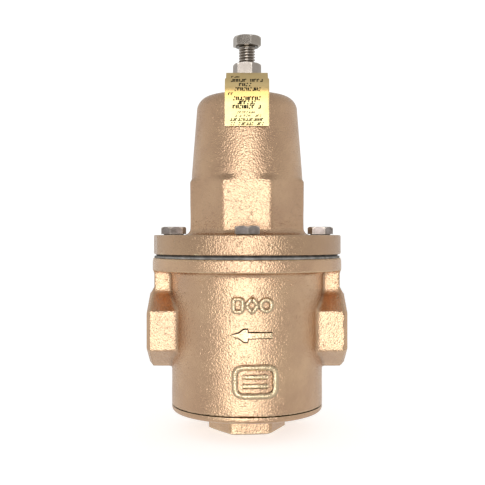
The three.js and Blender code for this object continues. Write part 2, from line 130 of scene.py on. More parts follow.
# the room is a little darker overhead and behind the camera
overhead = spread(sky, way.outputs["Z"], 0.1, 0.8, 1.0, 0.68)
behind = spread(sky, way.outputs["Y"], -0.75, 0.15, 0.52, 0.72)
sky.links.new(maths(sky, "MULTIPLY", overhead, behind), room.inputs["Strength"])
camera_ray = sky.nodes.new("ShaderNodeLightPath")
choice = sky.nodes.new("ShaderNodeMixShader")
sky.links.new(camera_ray.outputs["Is Camera Ray"], choice.inputs["Fac"])
sky.links.new(room.outputs[0], choice.inputs[1])
sky.links.new(backdrop.outputs[0], choice.inputs[2])
sky.links.new(choice.outputs[0], sky.nodes["World Output"].inputs["Surface"])

floor_material = bpy.data.materials.new("floor_white")
floor_material.use_nodes = True
floor_paint = floor_material.node_tree.nodes["Principled BSDF"]
floor_paint.inputs["Base Color"].default_value = (0.96, 0.96, 0.96, 1)
floor_paint.inputs["Roughness"].default_value = 0.9
floor_paint.inputs["Emission Color"].default_value = (1, 1, 1, 1)
floor_paint.inputs["Emission Strength"].default_value = 0.55
floor_mesh = bpy.data.meshes.new("floor")
FLOOR_HALF = 6.0
floor_corners = [(-FLOOR_HALF, -FLOOR_HALF, 0), (FLOOR_HALF, -FLOOR_HALF, 0),
                 (FLOOR_HALF, FLOOR_HALF, 0), (-FLOOR_HALF, FLOOR_HALF, 0)]
floor_mesh.from_pydata(floor_corners, [], [(0, 1, 2, 3)])
floor_mesh.materials.append(floor_material)
floor = placed("floor", floor_mesh)
floor.visible_glossy = False
floor.visible_shadow = False


# ---------------------------------------------------------------------------
# Body: one sand casting in bronze. A round barrel with a flange on top, a hexagon port on each
# side and a rib above each port. Inside, the cup that holds the seat hangs from the chamber floor
# and a duct leads from it to the outlet. The sand leaves a fine grain and round inner corners.
def shared_group(name, inputs, outputs):
    group = bpy.data.node_groups.new(name, "ShaderNodeTree")
    for label, value in inputs:
        socket = group.interface.new_socket(label, in_out="INPUT", socket_type="NodeSocketFloat")
        socket.default_value = value
    for label in outputs:
        group.interface.new_socket(label, in_out="OUTPUT", socket_type="NodeSocketFloat")
    return group, group.nodes.new("NodeGroupInput"), group.nodes.new("NodeGroupOutput")


def noise(tree, coordinates, scale, detail, roughness=0.55):
    node = tree.nodes.new("ShaderNodeTexNoise")
    node.inputs["Detail"].default_value = detail
    node.inputs["Roughness"].default_value = roughness
    tree.links.new(coordinates, node.inputs["Vector"])
    if isinstance(scale, (int, float)):
        node.inputs["Scale"].default_value = scale
    else:
        tree.links.new(scale, node.inputs["Scale"])
    return node.outputs["Fac"]


def object_place(tree):
    return tree.nodes.new("ShaderNodeTexCoord").outputs["Object"]


def object_height(tree):
    split = tree.nodes.new("ShaderNodeSeparateXYZ")
    tree.links.new(object_place(tree), split.inputs[0])
    return split.outputs["Z"]


def blend_colours(tree, share, first, second):
    node = tree.nodes.new("ShaderNodeMix")
    node.data_type = "RGBA"
    tree.links.new(share, node.inputs["Factor"])
    for socket, value in zip((node.inputs[6], node.inputs[7]), (first, second)):
        if isinstance(value, tuple):
            socket.default_value = (*value, 1)
        else:
            tree.links.new(value, socket)
    return node.outputs[2]


# Surface of worked metal, shared by all the metal finishes: fine grain, slow blotches of tarnish,
# worn bright edges, and masks of painted shade in hollows, creases and at marked feet and joints.
metal_surface, surface_in, surface_out = shared_group(
    "metal_surface",
    [("Grain Scale", 900.0), ("Blotch Scale", 60.0)],
    ["Grain", "Pits", "Blotch", "Edge", "Painted Hollow Shade", "Painted Foot Shade"],
)
place = object_place(metal_surface)
pointed = metal_surface.nodes.new("ShaderNodeNewGeometry").outputs["Pointiness"]
grain = noise(metal_surface, place, surface_in.outputs["Grain Scale"], 3.0, 0.5)
blotch = noise(metal_surface, place, surface_in.outputs["Blotch Scale"], 4.0)
pit_scale = maths(metal_surface, "MULTIPLY", surface_in.outputs["Grain Scale"], 0.55)
pits = noise(metal_surface, place, pit_scale, 1.0)
# painted shade: ambient occlusion and low pointiness darken the colour in hollows and creases
shelter = metal_surface.nodes.new("ShaderNodeAmbientOcclusion")
shelter.samples = 8
shelter.inputs["Distance"].default_value = 1.6 * MM
occlusion_shade = spread(metal_surface, shelter.outputs["AO"], 0.80, 0.35)
crease_shade = spread(metal_surface, pointed, 0.49, 0.42)
# pieces mark the foot of their raised shapes and their joints with this attribute, where a painted line of
# shade goes
marked = metal_surface.nodes.new("ShaderNodeAttribute")
marked.attribute_name = "crevice"
for label, value in (
    ("Grain", grain),
    ("Pits", spread(metal_surface, pits, 0.36, 0.24)),
    ("Blotch", spread(metal_surface, blotch, 0.35, 0.68)),
    ("Edge", spread(metal_surface, pointed, 0.52, 0.60)),
    ("Painted Hollow Shade", maths(metal_surface, "MAXIMUM", occlusion_shade, crease_shade)),
    ("Painted Foot Shade", spread(metal_surface, marked.outputs["Fac"], 0.05, 0.5)),
):
    metal_surface.links.new(value, surface_out.inputs[label])


# colour of the painted line of shade at marked feet and joints
CREVICE_SHADE = (0.05, 0.035, 0.02)


def metal(name, colour, tarnish, worn, roughness, grain_scale, grain_depth,
          blotch_scale=60.0, hollow=0.30):
    """Metal with its own grain: colour in the open, tarnish in blotches, worn on the edges.

    The hollow argument is the share of the tarnish's brightness left where painted shade darkens sheltered
    corners and creases; marked feet and joints also get a painted line of shade.
    """
    material = bpy.data.materials.new(name)
    material.use_nodes = True
    tree = material.node_tree
    shader = tree.nodes["Principled BSDF"]
    surface = tree.nodes.new("ShaderNodeGroup")
    surface.node_tree = metal_surface
    surface.inputs["Grain Scale"].default_value = grain_scale
    surface.inputs["Blotch Scale"].default_value = blotch_scale
    mottled = blend_colours(tree, surface.outputs["Blotch"], colour, tarnish)
    bright = blend_colours(tree, surface.outputs["Edge"], mottled, worn)
    # painted shade in hollows and creases, then a painted line of shade at marked feet and joints
    shaded_hollows = blend_colours(tree, surface.outputs["Painted Hollow Shade"], bright, tuple(hollow * c for c in tarnish))
    final = blend_colours(tree, surface.outputs["Painted Foot Shade"], shaded_hollows, CREVICE_SHADE)
    tree.links.new(final, shader.inputs["Base Color"])
    shader.inputs["Metallic"].default_value = 1.0
    rough = spread(tree, surface.outputs["Grain"], 0.3, 0.7, roughness * 0.85, roughness * 1.2)
    tree.links.new(rough, shader.inputs["Roughness"])
    bump = tree.nodes.new("ShaderNodeBump")
    bump.inputs["Distance"].default_value = grain_depth
    pitted = maths(tree, "MULTIPLY", surface.outputs["Pits"], -0.35)
    tree.links.new(maths(tree, "ADD", surface.outputs["Grain"], pitted), bump.inputs["Height"])
    tree.links.new(bump.outputs["Normal"], shader.inputs["Normal"])
    return material


cast_bronze = metal(
    "cast_bronze", (0.78, 0.53, 0.335), (0.67, 0.44, 0.285), (0.90, 0.70, 0.45),
    roughness=0.20, grain_scale=1150.0, grain_depth=0.42 * MM, blotch_scale=45.0,
)
turned_bronze = metal(
    "turned_bronze", (0.70, 0.52, 0.34), (0.60, 0.42, 0.27), (0.82, 0.66, 0.46),
    roughness=0.25, grain_scale=2600.0, grain_depth=0.05 * MM,
)


def smooth_union(first, second, radius):
    near = np.maximum(radius - np.abs(first - second), 0)
    return np.minimum(first, second) - near * near / (4 * radius)


def within(first, second, rounding):
    """Distance to what is inside both surfaces, with the edge between them rounded off."""
    a = first + rounding
    b = second + rounding
    return np.minimum(np.maximum(a, b), 0) + np.hypot(np.maximum(a, 0), np.maximum(b, 0)) - rounding


def between(values, low, high):
    return np.abs(values - (low + high) / 2) - (high - low) / 2


def cast_skin(name, distance, low, high, step, material):
    """Closed mesh where distance is zero: one corner in each crossed cell, drawn on to the surface."""
    counts = [int(math.ceil((high[i] - low[i]) / step)) + 1 for i in range(3)]
    lines = [low[i] + step * np.arange(counts[i]) for i in range(3)]
    inside = distance(np.stack(np.meshgrid(*lines, indexing="ij"), axis=-1)) < 0
    filled = np.zeros([count - 1 for count in counts], int)
    for offset in itertools.product((0, 1), repeat=3):
        window = tuple(slice(o, o + count - 1) for o, count in zip(offset, counts))
        filled += inside[window]
    crossed = (filled > 0) & (filled < 8)
    number = np.full(crossed.shape, -1)
    number[crossed] = np.arange(crossed.sum())
    centres = np.array(low) + step * (np.argwhere(crossed) + 0.5)
    corners = centres.copy()
    nudge = 0.05 * step
    for _ in range(5):
        slope = np.stack([
            (distance(corners + nudge * axis) - distance(corners - nudge * axis)) / (2 * nudge)
            for axis in np.eye(3)
        ], axis=1)
        steepness = np.maximum((slope ** 2).sum(1), 0.25)
        corners -= (distance(corners) / steepness)[:, None] * slope
        corners = np.clip(corners, centres - 0.6 * step, centres + 0.6 * step)
    faces = []
    for axis in range(3):
        across, along = (axis + 1) % 3, (axis + 2) % 3
        near = [slice(1, -1)] * 3
        near[axis] = slice(0, -1)
        far = list(near)
        far[axis] = slice(1, None)
        first, second = inside[tuple(near)], inside[tuple(far)]
        for leaving in (True, False):
            cells = np.argwhere((first != second) & (first == leaving))
            quad = []
            for da, db in ((0, 0), (1, 0), (1, 1), (0, 1)):
                cell = cells.copy()
                cell[:, across] += da
                cell[:, along] += db
                quad.append(number[tuple(cell.T)])
            faces.append(np.stack(quad if leaving else quad[::-1], axis=1))
    return mesh_piece(name, corners.tolist(), np.concatenate(faces).tolist(), material)


def mesh_piece(name, points, faces, material):
    mesh = bpy.data.meshes.new(name)
    mesh.from_pydata(points, [], faces)
    mesh.validate()
    mesh.materials.append(material)
    mesh.polygons.foreach_set("use_smooth", [True] * len(mesh.polygons))
    return placed(name, mesh)


# outside
body_low, body_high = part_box("body")
BARREL_R = 42.8 * MM
FLANGE_R = body_high.y
FLANGE_T = 7.2 * MM
FLANGE_TOP_Z = body_high.z
PORT_Z = 57.5 * MM
PORT_HALF_FLATS = 19.05 * MM
PORT_END = body_high.x
PORT_CHAMFER = 2 * MM
RIB_HALF = 2.75 * MM
RIB_REACH = 53 * MM
BOLT_CIRCLE_R = 42 * MM
BOLT_HOLE_R = 4.2 * MM
TAPPED_FROM_Z = 91 * MM
BOLT_PLACES = {"front": (0, -1), "right": (1, 0), "back": (0, 1), "left": (-1, 0)}
# inside
SOCKET_R = 14.0 * MM
SOCKET_DEPTH = 14 * MM
PORT_BORE_R = 12.2 * MM
DUCT_R = PORT_BORE_R + 3.8 * MM
CAVITY_R = 37.5 * MM
CUP_R = 24 * MM
CUP_WALL = 4 * MM
CUP_Z = 46 * MM
SEAT_HOLE_R = 12.8 * MM
FLOOR_Z = 80 * MM
FLOOR_TOP_Z = 86 * MM
CHAMBER_R = 35.5 * MM
GUIDE_R = 5.3 * MM
GUIDE_WALL = 3.7 * MM
GUIDE_TOP_Z = 89.5 * MM
SENSING_HOLE_R = 1.6 * MM
SENSING_HOLE_Y = 14 * MM
PAST = 1 * MM  # how far a hole is cut past the wall that it goes through


def casting_waves(p):
    x, y, z = (p[..., i] / MM for i in range(3))
    slow = np.sin(x / 4.7 + 1.3) * np.sin(y / 5.9 + 0.4) * np.sin(z / 6.4 + 2.1)
    quick = np.sin(x / 1.9 + 2.0) * np.sin(y / 2.3 + 0.9) * np.sin(z / 2.1 + 0.7)
    return (0.10 * slow + 0.035 * quick) * MM


def body_distance(p):
    x, y, z = p[..., 0], p[..., 1], p[..., 2]
    r = np.hypot(x, y)
    waves = casting_waves(p)
    barrel = within(r - BARREL_R + waves, between(z, body_low.z, FLANGE_TOP_Z), 0.5 * MM)
    flange = within(r - FLANGE_R, between(z, FLANGE_TOP_Z - FLANGE_T, FLANGE_TOP_Z), 0.7 * MM)
    side = np.abs(y)
    slope = 0.5 * side + math.sqrt(0.75) * np.abs(z - PORT_Z)
    hexagon = -smooth_union(-side, -slope, 0.6 * MM) - PORT_HALF_FLATS + 0.6 * waves
    end = np.abs(x) - PORT_END
    port = np.maximum(within(hexagon, end, 0.2 * MM), (hexagon + end + PORT_CHAMFER) / math.sqrt(2))
    rib = within(side - RIB_HALF, np.abs(x) - RIB_REACH, 0.8 * MM)
    rib = within(rib, between(z, PORT_Z, FLANGE_TOP_Z - 2 * MM), 0.5 * MM)
    outside = smooth_union(barrel, flange, 4 * MM)
    outside = smooth_union(outside, port, 2 * MM)
    outside = smooth_union(outside, rib, 2.5 * MM)
    # the space round the cup, with the cup and its outlet duct left standing in it
    cup = within(r - CUP_R, CUP_Z - z, 1 * MM)
    duct_r = np.hypot(y, z - PORT_Z)
    duct = np.maximum(duct_r - DUCT_R, x + CUP_R - 1.5 * MM)
    space = within(r - CAVITY_R, z - FLOOR_Z, 3 * MM)
    space = np.maximum(space, -smooth_union(cup, duct, 3 * MM))
    guide = within(r - GUIDE_R - GUIDE_WALL, z - GUIDE_TOP_Z, 0.5 * MM)
    chamber = np.maximum(np.maximum(r - CHAMBER_R, FLOOR_TOP_Z - z), -guide)
    sensing = np.hypot(x, y - SENSING_HOLE_Y) - SENSING_HOLE_R
    hollows = [
        space,
        chamber,
        within(r - CUP_R + CUP_WALL, between(z, CUP_Z + CUP_WALL, FLOOR_Z), 3 * MM),
        np.maximum(r - SEAT_HOLE_R, between(z, CUP_Z - PAST, CUP_Z + CUP_WALL + PAST)),
        np.maximum(r - GUIDE_R, between(z, FLOOR_Z - PAST, GUIDE_TOP_Z + 0.5 * PAST)),
        np.maximum(sensing, between(z, FLOOR_Z - 2 * PAST, FLOOR_TOP_Z + 2 * PAST)),
        np.maximum(duct_r - PORT_BORE_R, x + CUP_R - 9 * MM),
        np.maximum(duct_r - PORT_BORE_R, CAVITY_R - 5.5 * MM - x),
        np.maximum(duct_r - SOCKET_R, PORT_END - SOCKET_DEPTH - np.abs(x)),
    ]
    for dx, dy in BOLT_PLACES.values():
        hole = np.hypot(x - dx * BOLT_CIRCLE_R, y - dy * BOLT_CIRCLE_R) - BOLT_HOLE_R
        hollows.append(np.maximum(hole, TAPPED_FROM_Z - z))
    for hollow in hollows:
        outside = np.maximum(outside, -hollow)
    return outside


SKIN_STEP = 0.85 * MM
margin = 2.5 * SKIN_STEP
valve_body = cast_skin(
    "valve_body", body_distance,
    [value - margin for value in body_low], [value + margin for value in body_high],
    SKIN_STEP, cast_bronze,
)


# Blanks turned on a lathe, for every round piece. A row is (radius, height, share of the flats,
# share of the thread). Sharp corners of the outline get a small round.
def outline(points, rounding=0.25 * MM, steps=3):
    """Rows from (radius, height[, flats, thread]) points, with every corner off the axis rounded."""
    rows = [tuple(point) + (0.0,) * (4 - len(point)) for point in points]
    closed = rows[0][0] > 0
    result = []
    for i, row in enumerate(rows):
        if not closed and i in (0, len(rows) - 1):
            result.append(row)
            continue
        before, after = np.array(rows[i - 1][:2]), np.array(rows[(i + 1) % len(rows)][:2])
        corner = np.array(row[:2])
        reach = [min(rounding, 0.4 * np.linalg.norm(end - corner)) for end in (before, after)]
        start = corner + reach[0] * (before - corner) / np.linalg.norm(before - corner)
        end = corner + reach[1] * (after - corner) / np.linalg.norm(after - corner)
        for t in np.linspace(0, 1, steps):
            bent = (1 - t) ** 2 * start + 2 * t * (1 - t) * corner + t ** 2 * end
            result.append((bent[0], bent[1], row[2], row[3]))
    return result


def in_mm(*points):
    return [(r * MM, z * MM) for r, z in points]


def arc_points(centre, radius, start, end, steps, flats=0.0):
    angles = np.radians(np.linspace(start, end, steps + 1))
    return [(centre[0] + radius * math.cos(a), centre[1] + radius * math.sin(a), flats) for a in angles]


def thread_rows(radius, low, high, pitch, end_radius=None, per_pitch=8):
    """Rows along a threaded length. The thread fades in over the first turn and out over the last."""
    count = max(2, int(round(abs(high - low) / pitch * per_pitch)))
    rows = []
    for t in np.linspace(0, 1, count + 1):
        turns_from_end = min(t, 1 - t) * abs(high - low) / pitch
        r = radius + (0 if end_radius is None else t * (end_radius - radius))
        rows.append((r, low + t * (high - low), 0.0, min(1.0, turns_from_end / 0.75)))
    return rows


def turned(name, rows, material, segments=96, turn=0.0):
    """Solid of revolution about Z. turn is the angle of its first corner from the front, towards +X."""
    points, shares, rings = [], [], []
    for radius, z, flats, thread in rows:
        count = 1 if radius <= 0 else segments
        rings.append(list(range(len(points), len(points) + count)))
        for i in range(count):
            angle = turn + 2 * math.pi * i / segments
            points.append((radius * math.sin(angle), -radius * math.cos(angle), z))
            shares.append((flats, thread))
    if rows[0][0] > 0:
        rings.append(rings[0])
    faces = []
    for low, high in zip(rings, rings[1:]):
        for i in range(segments):
            j = (i + 1) % segments
            if len(low) == 1:
                faces.append((low[0], high[j], high[i]))
            elif len(high) == 1:
                faces.append((low[i], low[j], high[0]))
            else:
                faces.append((low[i], low[j], high[j], high[i]))
    piece = mesh_piece(name, points, faces, material)
    for label, column in (("flat_share", 0), ("thread_share", 1)):
        layer = piece.data.attributes.new(label, "FLOAT", "POINT")
        layer.data.foreach_set("value", [share[column] for share in shares])
    return piece


def geometry_tree(name, numbers):
    """Geometry Nodes tree that takes these numbers and a material, with its inputs' identifiers."""
    tree = bpy.data.node_groups.new(name, "GeometryNodeTree")
    tree.interface.new_socket("Geometry", in_out="INPUT", socket_type="NodeSocketGeometry")
    identifiers = {}
    for label, value in numbers.items():
        socket = tree.interface.new_socket(label, in_out="INPUT", socket_type="NodeSocketFloat")
        socket.default_value = value
        identifiers[label] = socket.identifier
    socket = tree.interface.new_socket("Material", in_out="INPUT", socket_type="NodeSocketMaterial")
    identifiers["Material"] = socket.identifier
    tree.interface.new_socket("Geometry", in_out="OUTPUT", socket_type="NodeSocketGeometry")
    return tree, tree.nodes.new("NodeGroupInput").outputs, identifiers


def end_tree(tree, shape, material):
    """The tree's shape is made real and given its material."""
    realize = tree.nodes.new("GeometryNodeRealizeInstances")
    dress = tree.nodes.new("GeometryNodeSetMaterial")
    result = tree.nodes.new("NodeGroupOutput")
    tree.links.new(shape, realize.inputs[0])
    tree.links.new(realize.outputs[0], dress.inputs["Geometry"])
    tree.links.new(material, dress.inputs["Material"])
    tree.links.new(dress.outputs[0], result.inputs[0])


def tube_along(tree, curve, section):
    """Closed tube with this section along the curve."""
    sweep = tree.nodes.new("GeometryNodeCurveToMesh")
    sweep.inputs["Fill Caps"].default_value = True
    tree.links.new(curve, sweep.inputs["Curve"])
    tree.links.new(section, sweep.inputs["Profile Curve"])
    return sweep.outputs[0]


def position_parts(tree):
    """X, Y and Z of each point of the geometry."""
    split = tree.nodes.new("ShaderNodeSeparateXYZ")
    tree.links.new(tree.nodes.new("GeometryNodeInputPosition").outputs[0], split.inputs[0])
    return split.outputs


def moved_to(tree, geometry, x, y, z):
    """The geometry with each point put at these coordinates."""
    place = tree.nodes.new("ShaderNodeCombineXYZ")
    move = tree.nodes.new("GeometryNodeSetPosition")
    for value, socket in zip((x, y, z), place.inputs):
        tree.links.new(value, socket)
    tree.links.new(geometry, move.inputs["Geometry"])
    tree.links.new(place.outputs[0], move.inputs["Position"])
    return move.outputs[0]


def settled(piece):
    """The piece's evaluated mesh takes its modifiers' place."""
    evaluated = piece.evaluated_get(bpy.context.evaluated_depsgraph_get())
    mesh = bpy.data.meshes.new_from_object(evaluated)
    piece.modifiers.clear()
    if piece.type == "MESH":
        piece.data = mesh
        return piece
    made = placed(piece.name + "_mesh", mesh)
    bpy.data.objects.remove(piece)
    return made


def worked(piece, tree, identifiers, material, numbers):
    """What the tree makes of the piece with these numbers, as a plain mesh."""
    modifier = piece.modifiers.new(tree.name, "NODES")
    modifier.node_group = tree
    modifier[identifiers["Material"]] = material
    for label, value in numbers.items():
        modifier[identifiers[label]] = float(value)
    return settled(piece)


# Forming: one tree that presses spanner flats, turns off their corners and cuts the thread.
forming, given, forming_inputs = geometry_tree("flats_and_thread", {
    "Sides": 6.0, "Turn": 0.0, "Corner": 2.0, "Chamfer Radius": 1.0, "Bottom": -1.0, "Top": 1.0,
    "Pitch": 1.0, "Depth": 0.0,
})


def named_share(tree, label):
    node = tree.nodes.new("GeometryNodeInputNamedAttribute")
    node.data_type = "FLOAT"
    node.inputs["Name"].default_value = label
    return node.outputs[0]


x, y, z = position_parts(forming)
flat_share = named_share(forming, "flat_share")
thread_share = named_share(forming, "thread_share")
radius = maths(forming, "SQRT", maths(forming, "MULTIPLY_ADD", x, x, maths(forming, "MULTIPLY", y, y)))
angle = maths(forming, "ARCTAN2", x, maths(forming, "MULTIPLY", y, -1.0))
# flats: the round blank is pushed out to the polygon that fits round it
side_angle = maths(forming, "DIVIDE", 2 * math.pi, given["Sides"])
turned_by = maths(forming, "SUBTRACT", angle, given["Turn"])
turned_by = maths(forming, "FLOORED_MODULO", turned_by, side_angle)
from_flat = maths(forming, "MULTIPLY_ADD", side_angle, -0.5, turned_by)
reach = maths(forming, "DIVIDE", 1.0, maths(forming, "COSINE", from_flat))
reach = maths(forming, "SMOOTH_MIN", reach, given["Corner"], 0.012)
grown = maths(forming, "MULTIPLY", maths(forming, "SUBTRACT", reach, 1.0), flat_share)
pressed = maths(forming, "MULTIPLY", radius, maths(forming, "ADD", grown, 1.0))
# thread: a helical groove with flat crests and roots
winding = maths(forming, "SUBTRACT", maths(forming, "DIVIDE", z, given["Pitch"]),
                maths(forming, "DIVIDE", angle, 2 * math.pi))
tooth = maths(forming, "MULTIPLY_ADD", maths(forming, "FRACT", winding), 2.0, -1.0)
tooth = maths(forming, "ABSOLUTE", tooth)
tooth_depth = maths(forming, "MULTIPLY", spread(forming, tooth, 0.24, 0.92), given["Depth"])
cut_radius = maths(forming, "SUBTRACT", pressed, maths(forming, "MULTIPLY", tooth_depth, thread_share))
# chamfer: what stands out past the chamfer's radius slopes at 30 degrees
beyond = maths(forming, "MAXIMUM", maths(forming, "SUBTRACT", cut_radius, given["Chamfer Radius"]), 0.0)
drop = maths(forming, "MULTIPLY", beyond, math.tan(math.radians(30)))
capped = maths(forming, "MINIMUM", z, maths(forming, "SUBTRACT", given["Top"], drop))
capped = maths(forming, "MAXIMUM", capped, maths(forming, "ADD", given["Bottom"], drop))
level = maths(forming, "MULTIPLY_ADD", maths(forming, "SUBTRACT", capped, z), flat_share, z)
scale = maths(forming, "DIVIDE", cut_radius, maths(forming, "MAXIMUM", radius, 1e-7))
formed_x = maths(forming, "MULTIPLY", x, scale)
formed_y = maths(forming, "MULTIPLY", y, scale)
end_tree(forming, moved_to(forming, given["Geometry"], formed_x, formed_y, level), given["Material"])


def formed(blank, **numbers):
    labelled = {label.replace("_", " ").title(): value for label, value in numbers.items()}
    return worked(blank, forming, forming_inputs, blank.data.materials[0], labelled)


def crisp(piece, degrees=40):
    piece.data.polygons.foreach_set("use_smooth", [True] * len(piece.data.polygons))
    piece.data.set_sharp_from_angle(angle=math.radians(degrees))
    return piece


def joined(main, *others):
    """The others' shells become part of the main piece."""
    merged = bmesh.new()
    merged.from_mesh(main.data)
    for other in others:
        slot_of = []
        for material in other.data.materials:
            if material.name not in main.data.materials:
                main.data.materials.append(material)
            slot_of.append(list(main.data.materials).index(material))
        other.data.polygons.foreach_set(
            "material_index", [slot_of[polygon.material_index] for polygon in other.data.polygons]
        )
        merged.from_mesh(other.data)
    merged.to_mesh(main.data)
    merged.free()
    for other in others:
        bpy.data.objects.remove(other)
    return main


# Taper pipe thread cut in each port's socket: 14 threads to the inch.
PIPE_PITCH = 25.4 / 14 * MM
sleeve_rows = [(SOCKET_R + 0.4 * MM, 0.0, 0.0, 0.0), (SOCKET_R + 0.4 * MM, SOCKET_DEPTH, 0.0, 0.0),
               (12.1 * MM, SOCKET_DEPTH, 0.0, 0.0)]
sleeve_rows += thread_rows(13.25 * MM, SOCKET_DEPTH - 0.5 * MM, 0.6 * MM, PIPE_PITCH, 13.75 * MM, 10)
sleeve_rows += [(SOCKET_R, 0.0, 0.0, 0.0)]
sleeves = []
for side in (1, -1):
    sleeve = turned("pipe_thread", sleeve_rows, turned_bronze, 96)
    sleeve = formed(sleeve, pitch=PIPE_PITCH, depth=1.1 * MM)
    # heights run inwards from the port's end face
    place_sleeve = Matrix.Translation((side * PORT_END, 0, PORT_Z))
    place_sleeve = place_sleeve @ Matrix.Rotation(-side * math.pi / 2, 4, "Y")
    sleeve.data.transform(place_sleeve)
    check = bmesh.new()
    check.from_mesh(sleeve.data)
    bmesh.ops.recalc_face_normals(check, faces=check.faces)
    check.to_mesh(sleeve.data)
    check.free()
    sleeves.append(sleeve)


# Raised cast marks: a bead of metal along each line of a mark, bent round the barrel. The flow
# arrow points at the outlet. The other two are plain foundry marks with no lettering.
beading, given, bead_inputs = geometry_tree("raised_bead", {
    "Bead Width": 1.5 * MM, "Bead Height": 1.0 * MM, "Barrel Radius": BARREL_R,
})
spaced = beading.nodes.new("GeometryNodeResampleCurve")
spaced.mode = "LENGTH"
spaced.inputs["Length"].default_value = 0.35 * MM
beading.links.new(given["Geometry"], spaced.inputs["Curve"])
section = beading.nodes.new("GeometryNodeCurvePrimitiveQuadrilateral")
section.mode = "TRAPEZOID"
foot_width = maths(beading, "MULTIPLY_ADD", given["Bead Height"], 1.1, given["Bead Width"])
beading.links.new(maths(beading, "MULTIPLY", given["Bead Height"], 2.0), section.inputs["Height"])
beading.links.new(foot_width, section.inputs["Bottom Width"])
beading.links.new(given["Bead Width"], section.inputs["Top Width"])
section.inputs["Offset"].default_value = 0.0
# a mark lies flat in X and Z and stands out along -Y before it is bent round the barrel
x, y, z = position_parts(beading)
bend_angle = maths(beading, "DIVIDE", x, given["Barrel Radius"])
bend_radius = maths(beading, "SUBTRACT", given["Barrel Radius"], y)
bent_x = maths(beading, "MULTIPLY", maths(beading, "SINE", bend_angle), bend_radius)
minus_cosine = maths(beading, "MULTIPLY", maths(beading, "COSINE", bend_angle), -1.0)
bent_y = maths(beading, "MULTIPLY", minus_cosine, bend_radius)
# the bead's foot, below the barrel's surface, is marked for a painted line of shade
foot = beading.nodes.new("GeometryNodeStoreNamedAttribute")
foot.data_type = "FLOAT"
foot.domain = "POINT"
foot.inputs["Name"].default_value = "crevice"
beading.links.new(maths(beading, "GREATER_THAN", y, 0.0), foot.inputs["Value"])
beading.links.new(tube_along(beading, spaced.outputs[0], section.outputs[0]), foot.inputs["Geometry"])
end_tree(beading, moved_to(beading, foot.outputs[0], bent_x, bent_y, z), given["Material"])


def raised_lines(name, lines, width, height):
    """Beads along lines of (across, up) points in mm. A line that ends where it starts is a loop."""
    data = bpy.data.curves.new(name, "CURVE")
    data.dimensions = "3D"
    for line in lines:
        loop = line[0] == line[-1]
        points = line[:-1] if loop else line
        spline = data.splines.new("POLY")
        spline.points.add(len(points) - 1)
        for point, (across, up) in zip(spline.points, points):
            point.co = (across * MM, 0, up * MM, 1)
        spline.use_cyclic_u = loop
    mark = placed(name, data)
    numbers = {"Bead Width": width * MM, "Bead Height": height * MM}
    return worked(mark, beading, bead_inputs, cast_bronze, numbers)


def loop_of(centre, size, power, steps=40):
    """Closed outline round a centre: power 1 is a lozenge, 2 an ellipse, 4 and more a rounded box."""
    points = []
    for i in range(steps):
        a = 2 * math.pi * i / steps
        reach = (abs(math.cos(a)) ** power + abs(math.sin(a)) ** power) ** (-1 / power)
        across = centre[0] + size[0] / 2 * reach * math.cos(a)
        up = centre[1] + size[1] / 2 * reach * math.sin(a)
        points.append((across, up))
    return points + [points[0]]


def flow_arrow():
    """Raised plate in the shape of an arrow, drafted all round, with its barbed head at the left."""
    tip, tail, level = -8.6, 13.2, 57.8
    half = [(tip, 0.0), (tip + 4.6, 1.2), (tip + 6.9, 3.0), (tip + 8.7, 3.2), (tip + 9.0, 1.35),
            (tail, 1.25)]
    edge = np.array([(a, level + b) for a, b in half] + [(a, level - b) for a, b in reversed(half[1:])])
    along = np.roll(edge, -1, 0) - edge
    outward = np.stack([-along[:, 1], along[:, 0]], 1) / np.linalg.norm(along, axis=1)[:, None]
    corner_out = outward + np.roll(outward, 1, 0)
    corner_out /= np.linalg.norm(corner_out, axis=1)[:, None]
    plate = bmesh.new()
    # height above the barrel and spread beyond the top's edge: a steep flank, then the foot's fillet
    rings = [
        [plate.verts.new((a * MM, -rise * MM, b * MM)) for a, b in edge + draft * corner_out]
        for rise, draft in ((1.1, 0.0), (0.35, 0.2), (-0.45, 1.5))
    ]
    plate.faces.new(rings[0])
    plate.faces.new(rings[-1][::-1])
    for upper, lower in zip(rings, rings[1:]):
        for i in range(len(edge)):
            j = (i + 1) % len(edge)
            plate.faces.new((upper[j], upper[i], lower[i], lower[j]))
    bmesh.ops.recalc_face_normals(plate, faces=plate.faces)
    for across in np.arange(tip, tail + 1, 1.0):
        everything = plate.verts[:] + plate.edges[:] + plate.faces[:]
        bmesh.ops.bisect_plane(plate, geom=everything, plane_co=(across * MM, 0, 0), plane_no=(1, 0, 0))
    bmesh.ops.triangulate(plate, faces=plate.faces)
    mesh = bpy.data.meshes.new("flow_arrow")
    depth = [vert.co.y for vert in plate.verts]
    for vert in plate.verts:
        bend = vert.co.x / BARREL_R
        reach = BARREL_R - vert.co.y
        vert.co = (math.sin(bend) * reach, -math.cos(bend) * reach, vert.co.z)
    plate.to_mesh(mesh)
    plate.free()
    # the flank and foot are marked for a painted line of shade round the arrow
    layer = mesh.attributes.new("crevice", "FLOAT", "POINT")
    layer.data.foreach_set("value", [1.0 if value > -0.9 * MM else 0.0 for value in depth])
    mesh.materials.append(cast_bronze)
    return placed("flow_arrow", mesh)


upper_marks = raised_lines(
    "upper_marks",
    [loop_of((-4.7, 73.6), (4.8, 6.6), 8.0), loop_of((2.6, 73.6), (5.8, 7.4), 1.1),
     loop_of((10.1, 73.6), (5.8, 6.0), 2.0)],
    width=0.95, height=1.1,
)
lower_marks = raised_lines(
    "lower_marks",
    [loop_of((4.4, 33.6), (21.5, 15.0), 5.0, 80)]
    + [[(-2.2 + 0.5 * i, level) for i in range(27)] for level in (31.2, 36.0)],
    width=1.6, height=1.2,
)
valve_body = joined(valve_body, *sleeves, upper_marks, lower_marks, flow_arrow())
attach(valve_body, "casing")
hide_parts("body")


